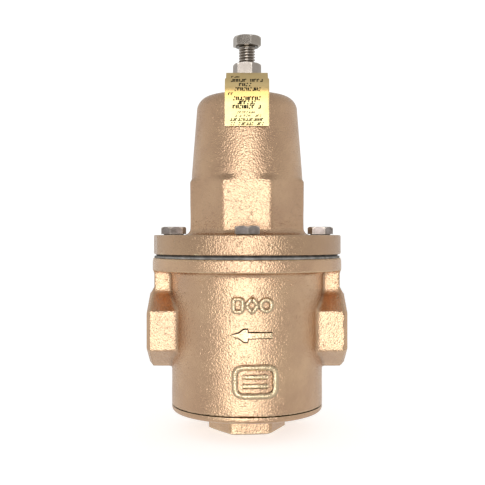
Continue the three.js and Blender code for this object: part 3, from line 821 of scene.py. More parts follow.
# ---------------------------------------------------------------------------
# Bottom plug: a bronze casting screwed up into the body, with a round rim that meets the barrel
# and a hexagon boss for the spanner. A rubber ring in the spigot's groove makes the seal.
PLUG_HEX_HALF = 19.45 * MM
PLUG_RIM_Z = 11.2 * MM
PLUG_TOP_Z = 14.65 * MM
PLUG_TURN = math.radians(-23.5)
SPIGOT_R = 37.0 * MM
SPIGOT_PITCH = 1.6 * MM
RIM_ARC_R = 2.3 * MM
GROOVE_R = 34.4 * MM
plug_foot = [(0, 0), (PLUG_HEX_HALF - 1.2 * MM, 0, 0.9), (PLUG_HEX_HALF, 1.2 * MM, 1.0)]
plug_rows = outline(plug_foot, 0.8 * MM, 4)[:-4]
plug_rows += [(PLUG_HEX_HALF, level * MM, 1.0, 0.0) for level in np.linspace(1.2, 9.4, 8)]
plug_rows += [(r, level, flats, 0.0) for r, level, flats in arc_points(
    (PLUG_HEX_HALF + 1.5 * MM, PLUG_RIM_Z - 1.5 * MM), 1.5 * MM, 180, 90, 5, 0.8)]
plug_rows += outline([
    (0, PLUG_RIM_Z),
    (26 * MM, PLUG_RIM_Z),
    (BARREL_R - RIM_ARC_R, PLUG_RIM_Z),
    *arc_points((BARREL_R - RIM_ARC_R, PLUG_RIM_Z + RIM_ARC_R), RIM_ARC_R, -75, 0, 6),
    (BARREL_R, PLUG_TOP_Z),
    (SPIGOT_R, PLUG_TOP_Z),
    (SPIGOT_R, 15.7 * MM),
    (GROOVE_R, 15.7 * MM),
    (GROOVE_R, 18.8 * MM),
    (SPIGOT_R, 18.8 * MM),
    (0, 18.8 * MM),
])[1:-1]
plug_rows += thread_rows(SPIGOT_R, 19.2 * MM, 24.2 * MM, SPIGOT_PITCH)
plug_rows += outline(
    in_mm((0, 24.5)) + [(SPIGOT_R - 0.6 * MM, 24.5 * MM)]
    + in_mm((31.5, 24.5), (31.5, 17), (23.3, 17), (23.3, 20), (21.3, 20), (21.3, 17), (0, 17)))[1:]
plug = turned("plug", plug_rows, cast_bronze, 192, PLUG_TURN)
plug = formed(plug, turn=PLUG_TURN, corner=1.125, pitch=SPIGOT_PITCH, depth=0.7 * MM)
crisp(plug)
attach(plug, "casing")
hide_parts("bottom_plug")


def soft_black(name, colour, roughness, weave_scale=0.0):
    """Rubber or pressed fibre: matt, slightly dusty, with a fine nap or the print of a fabric ply."""
    material = bpy.data.materials.new(name)
    material.use_nodes = True
    tree = material.node_tree
    shader = tree.nodes["Principled BSDF"]
    place = tree.nodes.new("ShaderNodeTexCoord").outputs["Object"]
    dust = spread(tree, noise(tree, place, 260.0, 4.0), 0.4, 0.75)
    colours = blend_colours(tree, dust, colour, tuple(min(1.0, 2.2 * c + 0.01) for c in colour))
    tree.links.new(colours, shader.inputs["Base Color"])
    nap = noise(tree, place, 2400.0, 3.0)
    matt = spread(tree, nap, 0.3, 0.7, roughness - 0.1, min(1.0, roughness + 0.1))
    tree.links.new(matt, shader.inputs["Roughness"])
    height = nap
    if weave_scale:
        weave = tree.nodes.new("ShaderNodeTexWave")
        weave.inputs["Scale"].default_value = weave_scale
        weave.inputs["Distortion"].default_value = 1.5
        tree.links.new(place, weave.inputs["Vector"])
        height = maths(tree, "ADD", nap, weave.outputs["Fac"])
    bump = tree.nodes.new("ShaderNodeBump")
    bump.inputs["Distance"].default_value = 0.06 * MM
    tree.links.new(height, bump.inputs["Height"])
    tree.links.new(bump.outputs["Normal"], shader.inputs["Normal"])
    return material


rubber = soft_black("rubber", (0.012, 0.012, 0.012), 0.6)
ply_rubber = soft_black("ply_rubber", (0.014, 0.013, 0.012), 0.65, 420.0)
cut_ply = soft_black("cut_ply", (0.16, 0.155, 0.145), 0.8, 420.0)
# the fibre is near black partly as its own colour and partly as painted shade for the slot under the
# bonnet's lip
fibre = soft_black("fibre", (0.06, 0.055, 0.05), 0.75)


def ring_seal(name, radius, level, thickness, material, body, node):
    rows = [(r, z, 0.0, 0.0) for r, z, _ in arc_points((radius, level), thickness / 2, 0, 345, 23)]
    seal = turned(name, rows, material, 144)
    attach(seal, body)
    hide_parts(node)
    return seal


ring_seal("plug_seal", 35.9 * MM, 17.25 * MM, 2.5 * MM, rubber, "casing", "bottom_plug_ring")


# ---------------------------------------------------------------------------
# Strainer: stainless wire cloth rolled into a tube, which stands in the plug round the seat and
# reaches the underside of the cup. The wires are tubes along the edges of a fine grid.
stainless = metal(
    "stainless", (0.60, 0.60, 0.60), (0.50, 0.50, 0.49), (0.75, 0.75, 0.75),
    roughness=0.28, grain_scale=3000.0, grain_depth=0.02 * MM,
)
netting, given, netting_inputs = geometry_tree("wire_cloth", {"Wire Radius": 0.2 * MM})
lines = netting.nodes.new("GeometryNodeMeshToCurve")
wire = netting.nodes.new("GeometryNodeCurvePrimitiveCircle")
wire.inputs["Resolution"].default_value = 5
netting.links.new(given["Geometry"], lines.inputs[0])
netting.links.new(given["Wire Radius"], wire.inputs["Radius"])
end_tree(netting, tube_along(netting, lines.outputs[0], wire.outputs[0]), given["Material"])

screen_low, screen_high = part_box("strainer_screen")
SCREEN_R = 20.4 * MM
WIRES_ROUND = 90
WIRES_UP = 20
SCREEN_WIRE_R = 0.2 * MM
screen_points = []
for row in range(WIRES_UP + 1):
    level = screen_low.z + SCREEN_WIRE_R
    level += (screen_high.z - screen_low.z - 2 * SCREEN_WIRE_R) * row / WIRES_UP
    for i in range(WIRES_ROUND):
        angle = 2 * math.pi * i / WIRES_ROUND
        screen_points.append((SCREEN_R * math.sin(angle), -SCREEN_R * math.cos(angle), level))
screen_mesh = bpy.data.meshes.new("screen")
around = [(row * WIRES_ROUND + i, row * WIRES_ROUND + (i + 1) % WIRES_ROUND)
          for row in range(WIRES_UP + 1) for i in range(WIRES_ROUND)]
upright = [(row * WIRES_ROUND + i, (row + 1) * WIRES_ROUND + i)
           for row in range(WIRES_UP) for i in range(WIRES_ROUND)]
screen_mesh.from_pydata(screen_points, around + upright, [])
screen = placed("screen", screen_mesh)
worked(screen, netting, netting_inputs, stainless, {"Wire Radius": SCREEN_WIRE_R})
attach(screen, "casing")
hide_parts("strainer_screen")


# ---------------------------------------------------------------------------
# Seat: a brass ring screwed up into the cup on a fibre gasket, with a narrow raised lip below.
turned_brass = metal(
    "turned_brass", (0.72, 0.56, 0.27), (0.60, 0.44, 0.20), (0.88, 0.74, 0.45),
    roughness=0.22, grain_scale=2600.0, grain_depth=0.03 * MM,
)


def trim(name, points, material, body, node, segments=96, rounding=0.25 * MM):
    """Turned inner piece from its outline in millimetres."""
    rows = outline(in_mm(*points), rounding)
    piece = crisp(turned(name, rows, material, segments))
    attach(piece, body)
    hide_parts(node)
    return piece


seat_outline = [(9, 42), (10.4, 42), (11.4, 42.8), (15.5, 42.8), (15.5, 45.4), (12.5, 45.4),
                (12.5, 51.5), (9, 51.5)]
trim("seat", seat_outline, turned_brass, "casing", "seat_ring")
trim("seat_gasket", [(13.2, 45.4), (15.4, 45.4), (15.4, 46), (13.2, 46)],
     fibre, "casing", "seat_ring_gasket", rounding=0.1 * MM)


# ---------------------------------------------------------------------------
# Stem and disc: a stainless stem hangs from the diaphragm through the guide and the seat. At its
# foot a brass holder, washer and nut grip the rubber disc that closes against the seat's lip.
STEM_PITCH = 1.0 * MM
STEM_TOP_Z = 104.5 * MM
stem_rows = outline(in_mm((0, 22.5), (2.4, 22.5), (0, 22.6)), 0.2 * MM)[:-1]
stem_rows += thread_rows(3.0 * MM, 23.0 * MM, 30 * MM, STEM_PITCH)
stem_rows += outline(in_mm(
    (0, 30), (3, 30.2), (3, 39.5), (4.9, 39.5), (4.9, 82), (3.6, 82), (3.6, 84.4), (4.9, 84.4),
    (4.9, 91.8), (3.5, 91.8), (3.5, 97), (0, 97)))[1:-1]
stem_rows += thread_rows(3.5 * MM, 97.2 * MM, 104.2 * MM, STEM_PITCH)
stem_rows += [(2.9 * MM, STEM_TOP_Z, 0, 0), (0, STEM_TOP_Z, 0, 0)]
stem_rod = formed(turned("stem_rod", stem_rows, stainless, 64), pitch=STEM_PITCH, depth=0.5 * MM)
crisp(stem_rod)
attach(stem_rod, "stem_assembly")
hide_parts("stem")
ring_seal("stem_seal", 4.45 * MM, 83.2 * MM, 1.56 * MM, rubber, "stem_assembly", "stem_ring")
trim("disc_cup", [(3.3, 30), (13, 30), (13, 37.8), (11.8, 37.8), (11.8, 34.5), (3.3, 34.5)],
     turned_brass, "stem_assembly", "disc_holder")
# the disc's top stands just short of the seat's lip when the stem is at its highest
trim("disc", [(3.3, 34.5), (11.5, 34.5), (11.5, 38.44), (3.3, 38.44)],
     rubber, "stem_assembly", "seat_disc")
trim("disc_plate", [(3.3, 38.5), (8.2, 38.5), (8.2, 39.5), (3.3, 39.5)],
     turned_brass, "stem_assembly", "disc_washer")


def nut(name, half_flats, bottom, top, hole_radius, turn, pitch, material, segments=96):
    """Hexagon nut: flats pressed on a blank, corners turned off at both ends, bore threaded."""
    face = half_flats * 0.97
    mouth = hole_radius + 0.6 * MM
    rows = [(mouth, bottom, 0.0, 0.0), (face, bottom, 0.0, 0.0)]
    rows += [(half_flats, z, 1.0, 0.0) for z in np.linspace(bottom, top, 15)]
    rows += [(face, top, 0.0, 0.0), (mouth, top, 0.0, 0.0)]
    rows += thread_rows(hole_radius + 0.62 * MM, top - 0.5 * MM, bottom + 0.5 * MM, pitch)
    blank = turned(name, rows, material, segments, turn)
    made = formed(blank, turn=turn, chamfer_radius=half_flats, bottom=bottom, top=top,
                  pitch=pitch, depth=0.6 * MM)
    return crisp(made, 30)


small_nut = nut("disc_lock_nut", 5.5 * MM, 24.5 * MM, 30 * MM, 3.1 * MM, 0.0, STEM_PITCH, turned_brass)
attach(small_nut, "stem_assembly")
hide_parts("disc_nut")


# ---------------------------------------------------------------------------
# Diaphragm: rubber on a fabric ply. Its rim is clamped between the flanges with a thin slip ring
# on top, its centre is held on the stem, and a sloped ring joins them.
RIM_R = 52.9 * MM
DIAPHRAGM_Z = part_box("body")[1].z
rim_rows = [(r, z, 0.0, 0.0) for r, z in (
    (35 * MM, DIAPHRAGM_Z), (RIM_R - 0.1 * MM, DIAPHRAGM_Z), (RIM_R, DIAPHRAGM_Z + 0.25 * MM),
    (RIM_R, DIAPHRAGM_Z + 0.75 * MM), (RIM_R - 0.1 * MM, DIAPHRAGM_Z + 1 * MM),
    (35 * MM, DIAPHRAGM_Z + 1 * MM))]
diaphragm_rim = turned("diaphragm_rim", rim_rows, cut_ply, 360)
rng = np.random.default_rng(7)
ripple = np.convolve(rng.normal(0, 1, 360), np.ones(5) / 5, mode="same")
for vert in diaphragm_rim.data.vertices:
    reach = math.hypot(vert.co.x, vert.co.y)
    if reach > 45 * MM:
        step = int(round(math.degrees(math.atan2(vert.co.x, -vert.co.y)))) % 360
        trimmed = (reach - (0.25 + 0.25 * ripple[step]) * MM) / reach
        vert.co.x *= min(1.0, trimmed)
        vert.co.y *= min(1.0, trimmed)
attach(diaphragm_rim, "casing")
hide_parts("diaphragm")
slope_rows = outline([
    (30.5 * MM, 93.3 * MM), (35 * MM, DIAPHRAGM_Z), (35 * MM, DIAPHRAGM_Z + 1 * MM),
    (30.5 * MM, 94.3 * MM)], 0.1 * MM)
diaphragm_slope = turned("diaphragm_slope", slope_rows, ply_rubber, 144)
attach(diaphragm_slope, "casing")
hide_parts("diaphragm")
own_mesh(diaphragm_slope)
trim("diaphragm_centre", [(3.8, 93.3), (30.5, 93.3), (30.5, 94.3), (3.8, 94.3)],
     ply_rubber, "stem_assembly", "diaphragm", 144, 0.1 * MM)
# the friction ring's near-black edge is partly painted shade for the slot under the bonnet's lip
trim("friction_ring", [(36, 98.7), (51.6, 98.7), (51.6, 99.3), (36, 99.3)],
     fibre, "casing", "slip_ring", 180, 0.1 * MM)


# ---------------------------------------------------------------------------
# Plates, range spring and button: washers above and below the diaphragm, the coil spring that sets
# the outlet pressure, and the button through which the screw presses on it.
plated_steel = metal(
    "plated_steel", (0.48, 0.43, 0.38), (0.37, 0.33, 0.29), (0.78, 0.72, 0.65),
    roughness=0.11, grain_scale=2200.0, grain_depth=0.02 * MM, blotch_scale=180.0, hollow=0.95,
)
spring_steel = metal(
    "spring_steel", (0.09, 0.095, 0.11), (0.05, 0.05, 0.055), (0.22, 0.22, 0.24),
    roughness=0.4, grain_scale=1800.0, grain_depth=0.05 * MM,
)
trim("lower_washer", [(3.8, 91.8), (26, 91.8), (26, 93.3), (3.8, 93.3)],
     turned_brass, "stem_assembly", "lower_diaphragm_washer")
upper_plate_outline = [(3.8, 94.3), (29, 94.3), (29, 97.3), (24.2, 97.3), (24.2, 100.3), (22.2, 100.3),
                       (22.2, 97.3), (3.8, 97.3)]
trim("upper_plate", upper_plate_outline, plated_steel, "stem_assembly", "pressure_plate")
PLATE_NUT_TURN = math.radians(10)
plate_nut = nut("plate_nut", 6.35 * MM, 97.3 * MM, 102.3 * MM, 3.6 * MM, PLATE_NUT_TURN, STEM_PITCH,
                plated_steel)
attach(plate_nut, "stem_assembly")
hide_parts("diaphragm_nut")
button_outline = [(0, 170.5), (15, 170.5), (15, 174.5), (22.5, 174.5), (22.5, 178.3), (21.5, 179.3),
                  (5.5, 179.3), (5.5, 177.3), (0, 177.3)]
trim("button", button_outline, plated_steel, "spring_button", "spring_button")

winding_tree, given, spring_inputs = geometry_tree("wound_spring", {
    "Coil Radius": 0.0, "Wire Radius": 0.0, "Bottom": 0.0, "Top": 0.0, "Turns": 0.0, "Close Pitch": 0.0,
})
line = winding_tree.nodes.new("GeometryNodeCurvePrimitiveLine")
points_along = winding_tree.nodes.new("GeometryNodeResampleCurve")
points_along.inputs["Count"].default_value = 409
winding_tree.links.new(line.outputs[0], points_along.inputs["Curve"])
# the first and last turns lie close, and the ones between share the height that is left
along = winding_tree.nodes.new("GeometryNodeSplineParameter").outputs["Factor"]
turn = maths(winding_tree, "MULTIPLY", along, given["Turns"])
open_turns = maths(winding_tree, "SUBTRACT", given["Turns"], 2.0)
close_height = maths(winding_tree, "MULTIPLY", given["Close Pitch"], -2.0)
whole_height = maths(winding_tree, "SUBTRACT", given["Top"], given["Bottom"])
open_pitch = maths(winding_tree, "ADD", whole_height, close_height)
open_pitch = maths(winding_tree, "DIVIDE", open_pitch, open_turns)
open_turn = maths(winding_tree, "MAXIMUM", maths(winding_tree, "SUBTRACT", turn, 1.0), 0.0)
open_turn = maths(winding_tree, "MINIMUM", open_turn, open_turns)
close_turn = maths(winding_tree, "SUBTRACT", turn, open_turn)
rise = maths(winding_tree, "MULTIPLY_ADD", close_turn, given["Close Pitch"], given["Bottom"])
rise = maths(winding_tree, "MULTIPLY_ADD", open_turn, open_pitch, rise)
turn_angle = maths(winding_tree, "MULTIPLY", turn, 2 * math.pi)
coil_x = maths(winding_tree, "MULTIPLY", maths(winding_tree, "COSINE", turn_angle), given["Coil Radius"])
coil_y = maths(winding_tree, "MULTIPLY", maths(winding_tree, "SINE", turn_angle), given["Coil Radius"])
coil = moved_to(winding_tree, points_along.outputs[0], coil_x, coil_y, rise)
wire = winding_tree.nodes.new("GeometryNodeCurvePrimitiveCircle")
wire.inputs["Resolution"].default_value = 20
winding_tree.links.new(given["Wire Radius"], wire.inputs["Radius"])
end_tree(winding_tree, tube_along(winding_tree, coil, wire.outputs[0]), given["Material"])

spring_low, spring_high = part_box("range_spring")
WIRE_R = 2.25 * MM
spring = mesh_piece("spring", [(0, 0, 0)], [], spring_steel)
worked(spring, winding_tree, spring_inputs, spring_steel, {
    "Coil Radius": 19 * MM, "Wire Radius": WIRE_R, "Bottom": spring_low.z + WIRE_R,
    "Top": spring_high.z - WIRE_R, "Turns": 8.5, "Close Pitch": 4.9 * MM,
})
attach(spring, "stem_assembly")
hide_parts("range_spring")
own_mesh(spring)


# ---------------------------------------------------------------------------
# Bonnet: the second bronze casting, bolted over the diaphragm. A flange with its gate ground flat
# at the left, an octagon that flares into the flange, a round cone and a boss for the screw.
bonnet_low, bonnet_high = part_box("bonnet")
BONNET_RIM_Z = 110.5 * MM
OCTAGON_HALF = 31.75 * MM
CONE_Z = 144.5 * MM
SHOULDER_Z = 181 * MM
FLARE = 4.3 * MM
SHOULDER_R = 8.5 * MM
bonnet_rows = outline([
    (36 * MM, bonnet_low.z), (51.8 * MM, bonnet_low.z), (52.3 * MM, bonnet_low.z + 0.5 * MM),
    (FLANGE_R, bonnet_low.z + 0.5 * MM), (FLANGE_R, 103 * MM), (FLANGE_R, 107 * MM),
    (FLANGE_R, BONNET_RIM_Z), (50 * MM, BONNET_RIM_Z), (46 * MM, BONNET_RIM_Z), (42 * MM, BONNET_RIM_Z),
], 1.0 * MM, 5)[5:-5]
bonnet_rows = [(36 * MM, bonnet_low.z, 0, 0)] + bonnet_rows
flare_rows = arc_points((OCTAGON_HALF + FLARE, BONNET_RIM_Z + FLARE), FLARE, 270, 180, 10, 1.0)
bonnet_rows += [(r, z, flats * i / 10 * 0.35 + 0.65, 0.0) for i, (r, z, flats) in enumerate(flare_rows)]
bonnet_rows += [(OCTAGON_HALF, z * MM, 1.0, 0.0) for z in np.linspace(116, 139.6, 14)]
for t in np.linspace(0, 1, 12)[1:]:
    ease = t * t * (3 - 2 * t)
    bonnet_rows.append((OCTAGON_HALF - 0.12 * MM * t, (139.6 + 4.2 * t) * MM, 1 - ease, 0.0))
CONE_TOP_R = 28.7 * MM
bonnet_rows += [(31.6 * MM + (CONE_TOP_R - 31.6 * MM) * t, CONE_Z + (SHOULDER_Z - CONE_Z) * t, 0.0, 0.0)
                for t in np.linspace(0, 1, 24)]
shoulder = arc_points((CONE_TOP_R - SHOULDER_R, SHOULDER_Z), SHOULDER_R, 6, 84, 14)
bonnet_rows += [(r, z, 0.0, 0.0) for r, z, _ in shoulder]
boss = in_mm((0, 190.2), (13, 190.4), (10, 190.9))
boss += [(10 * MM, bonnet_high.z), (5.5 * MM, bonnet_high.z), (0, bonnet_high.z)]
bonnet_rows += outline(boss, 0.9 * MM, 5)[1:-1]
SCREW_PITCH = 25.4 / 16 * MM
bonnet_rows += thread_rows(5.35 * MM, bonnet_high.z - 0.4 * MM, 186.8 * MM, SCREW_PITCH)
inside = in_mm((0, 186.4), (5.5, 186.4), (20, 186.4), (22.9, 184.5))
inside += [(24.6 * MM, SHOULDER_Z), (27.4 * MM, CONE_Z)]
inside += in_mm((27.8, 111.5), (36, 107.5), (0, 104))
bonnet_rows += outline(inside, 0.9 * MM, 4)[1:-1]
# the flange below the rim is tinted darker than the casting above it
bonnet_bronze = cast_bronze.copy()
bonnet_bronze.name = "bonnet_bronze"
bonnet_nodes = bonnet_bronze.node_tree
bonnet_shader = bonnet_nodes.nodes["Principled BSDF"]
as_cast = bonnet_shader.inputs["Base Color"].links[0].from_socket
bonnet_level = object_height(bonnet_nodes)
above_rim = spread(bonnet_nodes, bonnet_level, BONNET_RIM_Z - 1.5 * MM, BONNET_RIM_Z + 1.0 * MM)
tint = blend_colours(bonnet_nodes, above_rim, (0.80, 0.80, 0.80), (0.94, 0.94, 0.94))
height_tinted = bonnet_nodes.nodes.new("ShaderNodeMix")
height_tinted.data_type = "RGBA"
height_tinted.blend_type = "MULTIPLY"
height_tinted.inputs["Factor"].default_value = 1.0
bonnet_nodes.links.new(as_cast, height_tinted.inputs[6])
bonnet_nodes.links.new(tint, height_tinted.inputs[7])
bonnet_nodes.links.new(height_tinted.outputs[2], bonnet_shader.inputs["Base Color"])
OCTAGON_TURN = math.radians(22.5)
bonnet = turned("bonnet_casting", bonnet_rows, bonnet_bronze, 256, OCTAGON_TURN)
# the gate's stub was ground off, which leaves an upright flat on the rim
GATE_ANGLE = math.radians(79)
GATE_DIRECTION = np.array([-math.sin(GATE_ANGLE), -math.cos(GATE_ANGLE)])
GATE_REACH = FLANGE_R - 1.0 * MM
points = np.zeros(len(bonnet.data.vertices) * 3)
bonnet.data.vertices.foreach_get("co", points)
points = points.reshape(-1, 3)
over = np.maximum(points[:, :2] @ GATE_DIRECTION - GATE_REACH, 0)
points[:, :2] -= over[:, None] * GATE_DIRECTION
outer = np.hypot(points[:, 0], points[:, 1])
is_cast = (points[:, 2] > BONNET_RIM_Z + 0.5 * MM) & (outer > 12 * MM)
waves = casting_waves(points) * is_cast
points[:, :2] *= (1 + waves / np.maximum(outer, 1 * MM))[:, None]
bonnet.data.vertices.foreach_set("co", points.ravel())
bonnet = formed(bonnet, sides=8, turn=OCTAGON_TURN, corner=1.07, pitch=SCREW_PITCH, depth=0.55 * MM)


def cut(piece, cutter):
    modifier = piece.modifiers.new(cutter.name, "BOOLEAN")
    modifier.operation = "DIFFERENCE"
    modifier.solver = "EXACT"
    modifier.object = cutter


SPOT_FACE_R = 8.6 * MM
spot = outline([(0, 98 * MM), (BOLT_HOLE_R, 98 * MM), (BOLT_HOLE_R, BONNET_RIM_Z),
                (SPOT_FACE_R, BONNET_RIM_Z), (SPOT_FACE_R, 121 * MM), (0, 121 * MM)], 0.3 * MM)
cutters = []
for dx, dy in BOLT_PLACES.values():
    cutter = turned("spot_face", spot, bonnet_bronze, 48)
    cutter.data.transform(Matrix.Translation((dx * BOLT_CIRCLE_R, dy * BOLT_CIRCLE_R, 0)))
    cutters.append(cutter)
for cutter in cutters:
    cut(bonnet, cutter)
settled(bonnet)
for cutter in cutters:
    bpy.data.objects.remove(cutter)
crisp(bonnet, 50)
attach(bonnet, "casing")
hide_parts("bonnet")


# ---------------------------------------------------------------------------
# Flange bolts: four plated 5/16-18 hexagon bolts, each in its own spot face, with the head's
# corners turned off and a thin washer face under it.
bolt_steel = metal(
    "bolt_steel", (0.44, 0.39, 0.37), (0.22, 0.19, 0.17), (0.76, 0.69, 0.62),
    roughness=0.32, grain_scale=1700.0, grain_depth=0.09 * MM, blotch_scale=260.0,
)
BOLT_PITCH = 25.4 / 18 * MM
BOLT_HALF_FLATS = 6.35 * MM
BOLT_R = 3.95 * MM
HEAD_TURNS = {"front": 4, "right": 17, "back": -15, "left": -12}


def bolt(name, shank_radius, foot, under_head, top, half_flats, turn, pitch, thread_end, segments,
         per_pitch, material):
    """Hexagon head bolt: threaded shank, plain neck, washer face and head with its corners off."""
    rows = [(0, foot, 0, 0), (shank_radius * 0.75, foot, 0, 0)]
    rows += thread_rows(shank_radius, foot + 0.8 * MM, thread_end, pitch, None, per_pitch)
    washer = half_flats * 0.90
    rows += [(shank_radius, under_head, 0, 0), (washer, under_head, 0, 0)]
    rows += [(washer, under_head + 0.5 * MM, 0, 0)]
    rows += [(half_flats, z, 1.0, 0.0) for z in np.linspace(under_head + 0.51 * MM, top, 12)]
    dished = top - 0.05 * MM
    rows += [(half_flats * 0.93, top, 0, 0), (half_flats * 0.45, dished, 0, 0), (0, dished, 0, 0)]
    blank = turned(name, rows, material, segments, turn)
    made = formed(blank, turn=turn, chamfer_radius=half_flats * 0.985, bottom=under_head - 1 * MM, top=top,
                  pitch=pitch, depth=0.6 * pitch)
    # the joint under the washer face gets a painted line of shade
    layer = made.data.attributes.new("crevice", "FLOAT", "POINT")
    under = [abs(vert.co.z - under_head) < 0.3 * MM for vert in made.data.vertices]
    layer.data.foreach_set("value", [1.0 if dirty else 0.0 for dirty in under])
    return crisp(made, 30)


for place_name, (dx, dy) in BOLT_PLACES.items():
    node = f"bonnet_bolt_{place_name}"
    low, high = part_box(node)
    flange_bolt = bolt(f"flange_bolt_{place_name}", BOLT_R, low.z, BONNET_RIM_Z, high.z, BOLT_HALF_FLATS,
                       math.radians(HEAD_TURNS[place_name]), BOLT_PITCH, 108 * MM, 60, 6, bolt_steel)
    flange_bolt.data.transform(Matrix.Translation((dx * BOLT_CIRCLE_R, dy * BOLT_CIRCLE_R, 0)))
    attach(flange_bolt, "casing")
    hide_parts(node)


# ---------------------------------------------------------------------------
# Adjusting screw and lock nut: a plated 3/8-16 hexagon head screw, threaded to near its head,
# turned down on to the spring button, and the nut that locks it against the boss.
SCREW_HALF_FLATS = 7.1438 * MM
SCREW_R = 4.7 * MM
SCREW_TURN = math.radians(15)
screw_low, screw_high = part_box("adjusting_screw")
HEAD_Z = screw_high.z - 6.1 * MM
screw = bolt("pressure_screw", SCREW_R, screw_low.z, HEAD_Z, screw_high.z, SCREW_HALF_FLATS,
             SCREW_TURN, SCREW_PITCH, HEAD_Z - 0.4 * MM, 96, 12, plated_steel)
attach(screw, "adjusting_screw")
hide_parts("adjusting_screw")
nut_low, nut_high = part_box("lock_nut")
nut_steel = metal(
    "nut_steel", (0.51, 0.455, 0.41), (0.41, 0.365, 0.32), (0.80, 0.74, 0.68),
    roughness=0.34, grain_scale=2200.0, grain_depth=0.05 * MM, blotch_scale=180.0, hollow=0.5,
)
NUT_TURN = math.radians(19.5)
big_nut = nut("screw_lock_nut", SCREW_HALF_FLATS, nut_low.z, nut_high.z, 4.75 * MM, NUT_TURN,
              SCREW_PITCH, nut_steel)
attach(big_nut, "lock_nut")
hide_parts("lock_nut")


# ---------------------------------------------------------------------------
# Rating tag: half-hard brass sheet with a hole for the screw, held under the lock nut and bent
# down in front of the cone. Rows of small stamped marks stand for its data, with no lettering.
tag_low, tag_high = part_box("rating_tag")
TAG_T = 0.8 * MM
BEND_R = 12 * MM
BEND_Y = tag_low.y + TAG_T + BEND_R
BEND_Z = tag_high.z - TAG_T - BEND_R
EAR_BACK_Y = tag_high.y
FLAT_LENGTH = EAR_BACK_Y - BEND_Y
ARC_LENGTH = (BEND_R + TAG_T) * math.pi / 2
LEAF_LENGTH = BEND_Z - tag_low.z
TAG_HALF = tag_high.x
EAR_HALF = 11.35 * MM
SHOULDER_AT = FLAT_LENGTH + ARC_LENGTH * 0.57


def tag_point(across, along, lift):
    """Point on the bent tag: along runs from the ear's back edge, and lift is above its outer face."""
    reach = BEND_R + TAG_T + lift
    if along < FLAT_LENGTH:
        return (across, EAR_BACK_Y - along, tag_high.z + lift)
    if along < FLAT_LENGTH + ARC_LENGTH:
        angle = (along - FLAT_LENGTH) / (BEND_R + TAG_T)
        return (across, BEND_Y - reach * math.sin(angle), BEND_Z + reach * math.cos(angle))
    return (across, BEND_Y - reach, BEND_Z - (along - FLAT_LENGTH - ARC_LENGTH))


sheet_brass = metal(
    "sheet_brass", (0.60, 0.50, 0.255), (0.53, 0.43, 0.20), (0.72, 0.62, 0.36),
    roughness=0.26, grain_scale=1500.0, grain_depth=0.02 * MM, blotch_scale=140.0,
)
# painted reflection: the sheet's colour is warmed towards the bend and the bend is painted brighter,
# standing in for the room it reflects; the bend is also more matt
tag_nodes = sheet_brass.node_tree
tag_shader = tag_nodes.nodes["Principled BSDF"]
leaf_colour = tag_shader.inputs["Base Color"].links[0].from_socket
tag_level = object_height(tag_nodes)
reflection_warm_band = spread(tag_nodes, tag_level, BEND_Z - 6.0 * MM, BEND_Z - 1.0 * MM)
painted_bend_highlight = spread(tag_nodes, tag_level, BEND_Z + 0.5 * MM, BEND_Z + 4.5 * MM)
reflection_warmed_colour = blend_colours(tag_nodes, reflection_warm_band, leaf_colour, (0.58, 0.39, 0.14))
bend_colour_with_highlight = blend_colours(tag_nodes, painted_bend_highlight, reflection_warmed_colour, (0.84, 0.66, 0.34))
tag_nodes.links.new(bend_colour_with_highlight, tag_shader.inputs["Base Color"])
brushed = maths(tag_nodes, "MULTIPLY", painted_bend_highlight, 0.30)
leaf_roughness = tag_shader.inputs["Roughness"].links[0].from_socket
tag_nodes.links.new(maths(tag_nodes, "ADD", brushed, leaf_roughness), tag_shader.inputs["Roughness"])
ink = bpy.data.materials.new("stamp_ink")
ink.use_nodes = True
ink_nodes = ink.node_tree
ink_shader = ink_nodes.nodes["Principled BSDF"]
ink_wear = spread(ink_nodes, noise(ink_nodes, object_place(ink_nodes), 1500.0, 4.0), 0.35, 0.7)
ink_colour = blend_colours(ink_nodes, ink_wear, (0.006, 0.005, 0.003), (0.03, 0.025, 0.012))
ink_nodes.links.new(ink_colour, ink_shader.inputs["Base Color"])
ink_shader.inputs["Roughness"].default_value = 0.85
ink_shader.inputs["Specular IOR Level"].default_value = 0.15

tag_mesh = bmesh.new()
total = FLAT_LENGTH + ARC_LENGTH + LEAF_LENGTH
shoulder_ends = [SHOULDER_AT - 0.3 * MM, SHOULDER_AT + 0.3 * MM]
stations = sorted(set(list(np.linspace(0, total, 61)) + shoulder_ends))
COLUMNS = 24
layers = []
for lift in (0.0, -TAG_T):
    grid = []
    for along in stations:
        half = EAR_HALF if along < SHOULDER_AT else TAG_HALF
        across = np.linspace(-half, half, COLUMNS + 1)
        grid.append([tag_mesh.verts.new(tag_point(float(a), along, lift)) for a in across])
    layers.append(grid)
outer_face, inner_face = layers
for i in range(len(stations) - 1):
    outer, outer_next = outer_face[i], outer_face[i + 1]
    inner, inner_next = inner_face[i], inner_face[i + 1]
    for j in range(COLUMNS):
        tag_mesh.faces.new((outer[j], outer_next[j], outer_next[j + 1], outer[j + 1]))
        tag_mesh.faces.new((inner[j], inner[j + 1], inner_next[j + 1], inner_next[j]))
    for j, flip in ((0, False), (COLUMNS, True)):
        side = (outer_face[i][j], inner_face[i][j], inner_face[i + 1][j], outer_face[i + 1][j])
        tag_mesh.faces.new(side[::-1] if flip else side)
for i, flip in ((0, True), (len(stations) - 1, False)):
    for j in range(COLUMNS):
        end = (outer_face[i][j], inner_face[i][j], inner_face[i][j + 1], outer_face[i][j + 1])
        tag_mesh.faces.new(end[::-1] if flip else end)
bmesh.ops.recalc_face_normals(tag_mesh, faces=tag_mesh.faces)
tag_data = bpy.data.meshes.new("tag")
tag_mesh.to_mesh(tag_data)
tag_mesh.free()
tag_data.materials.append(sheet_brass)
tag = placed("tag", tag_data)
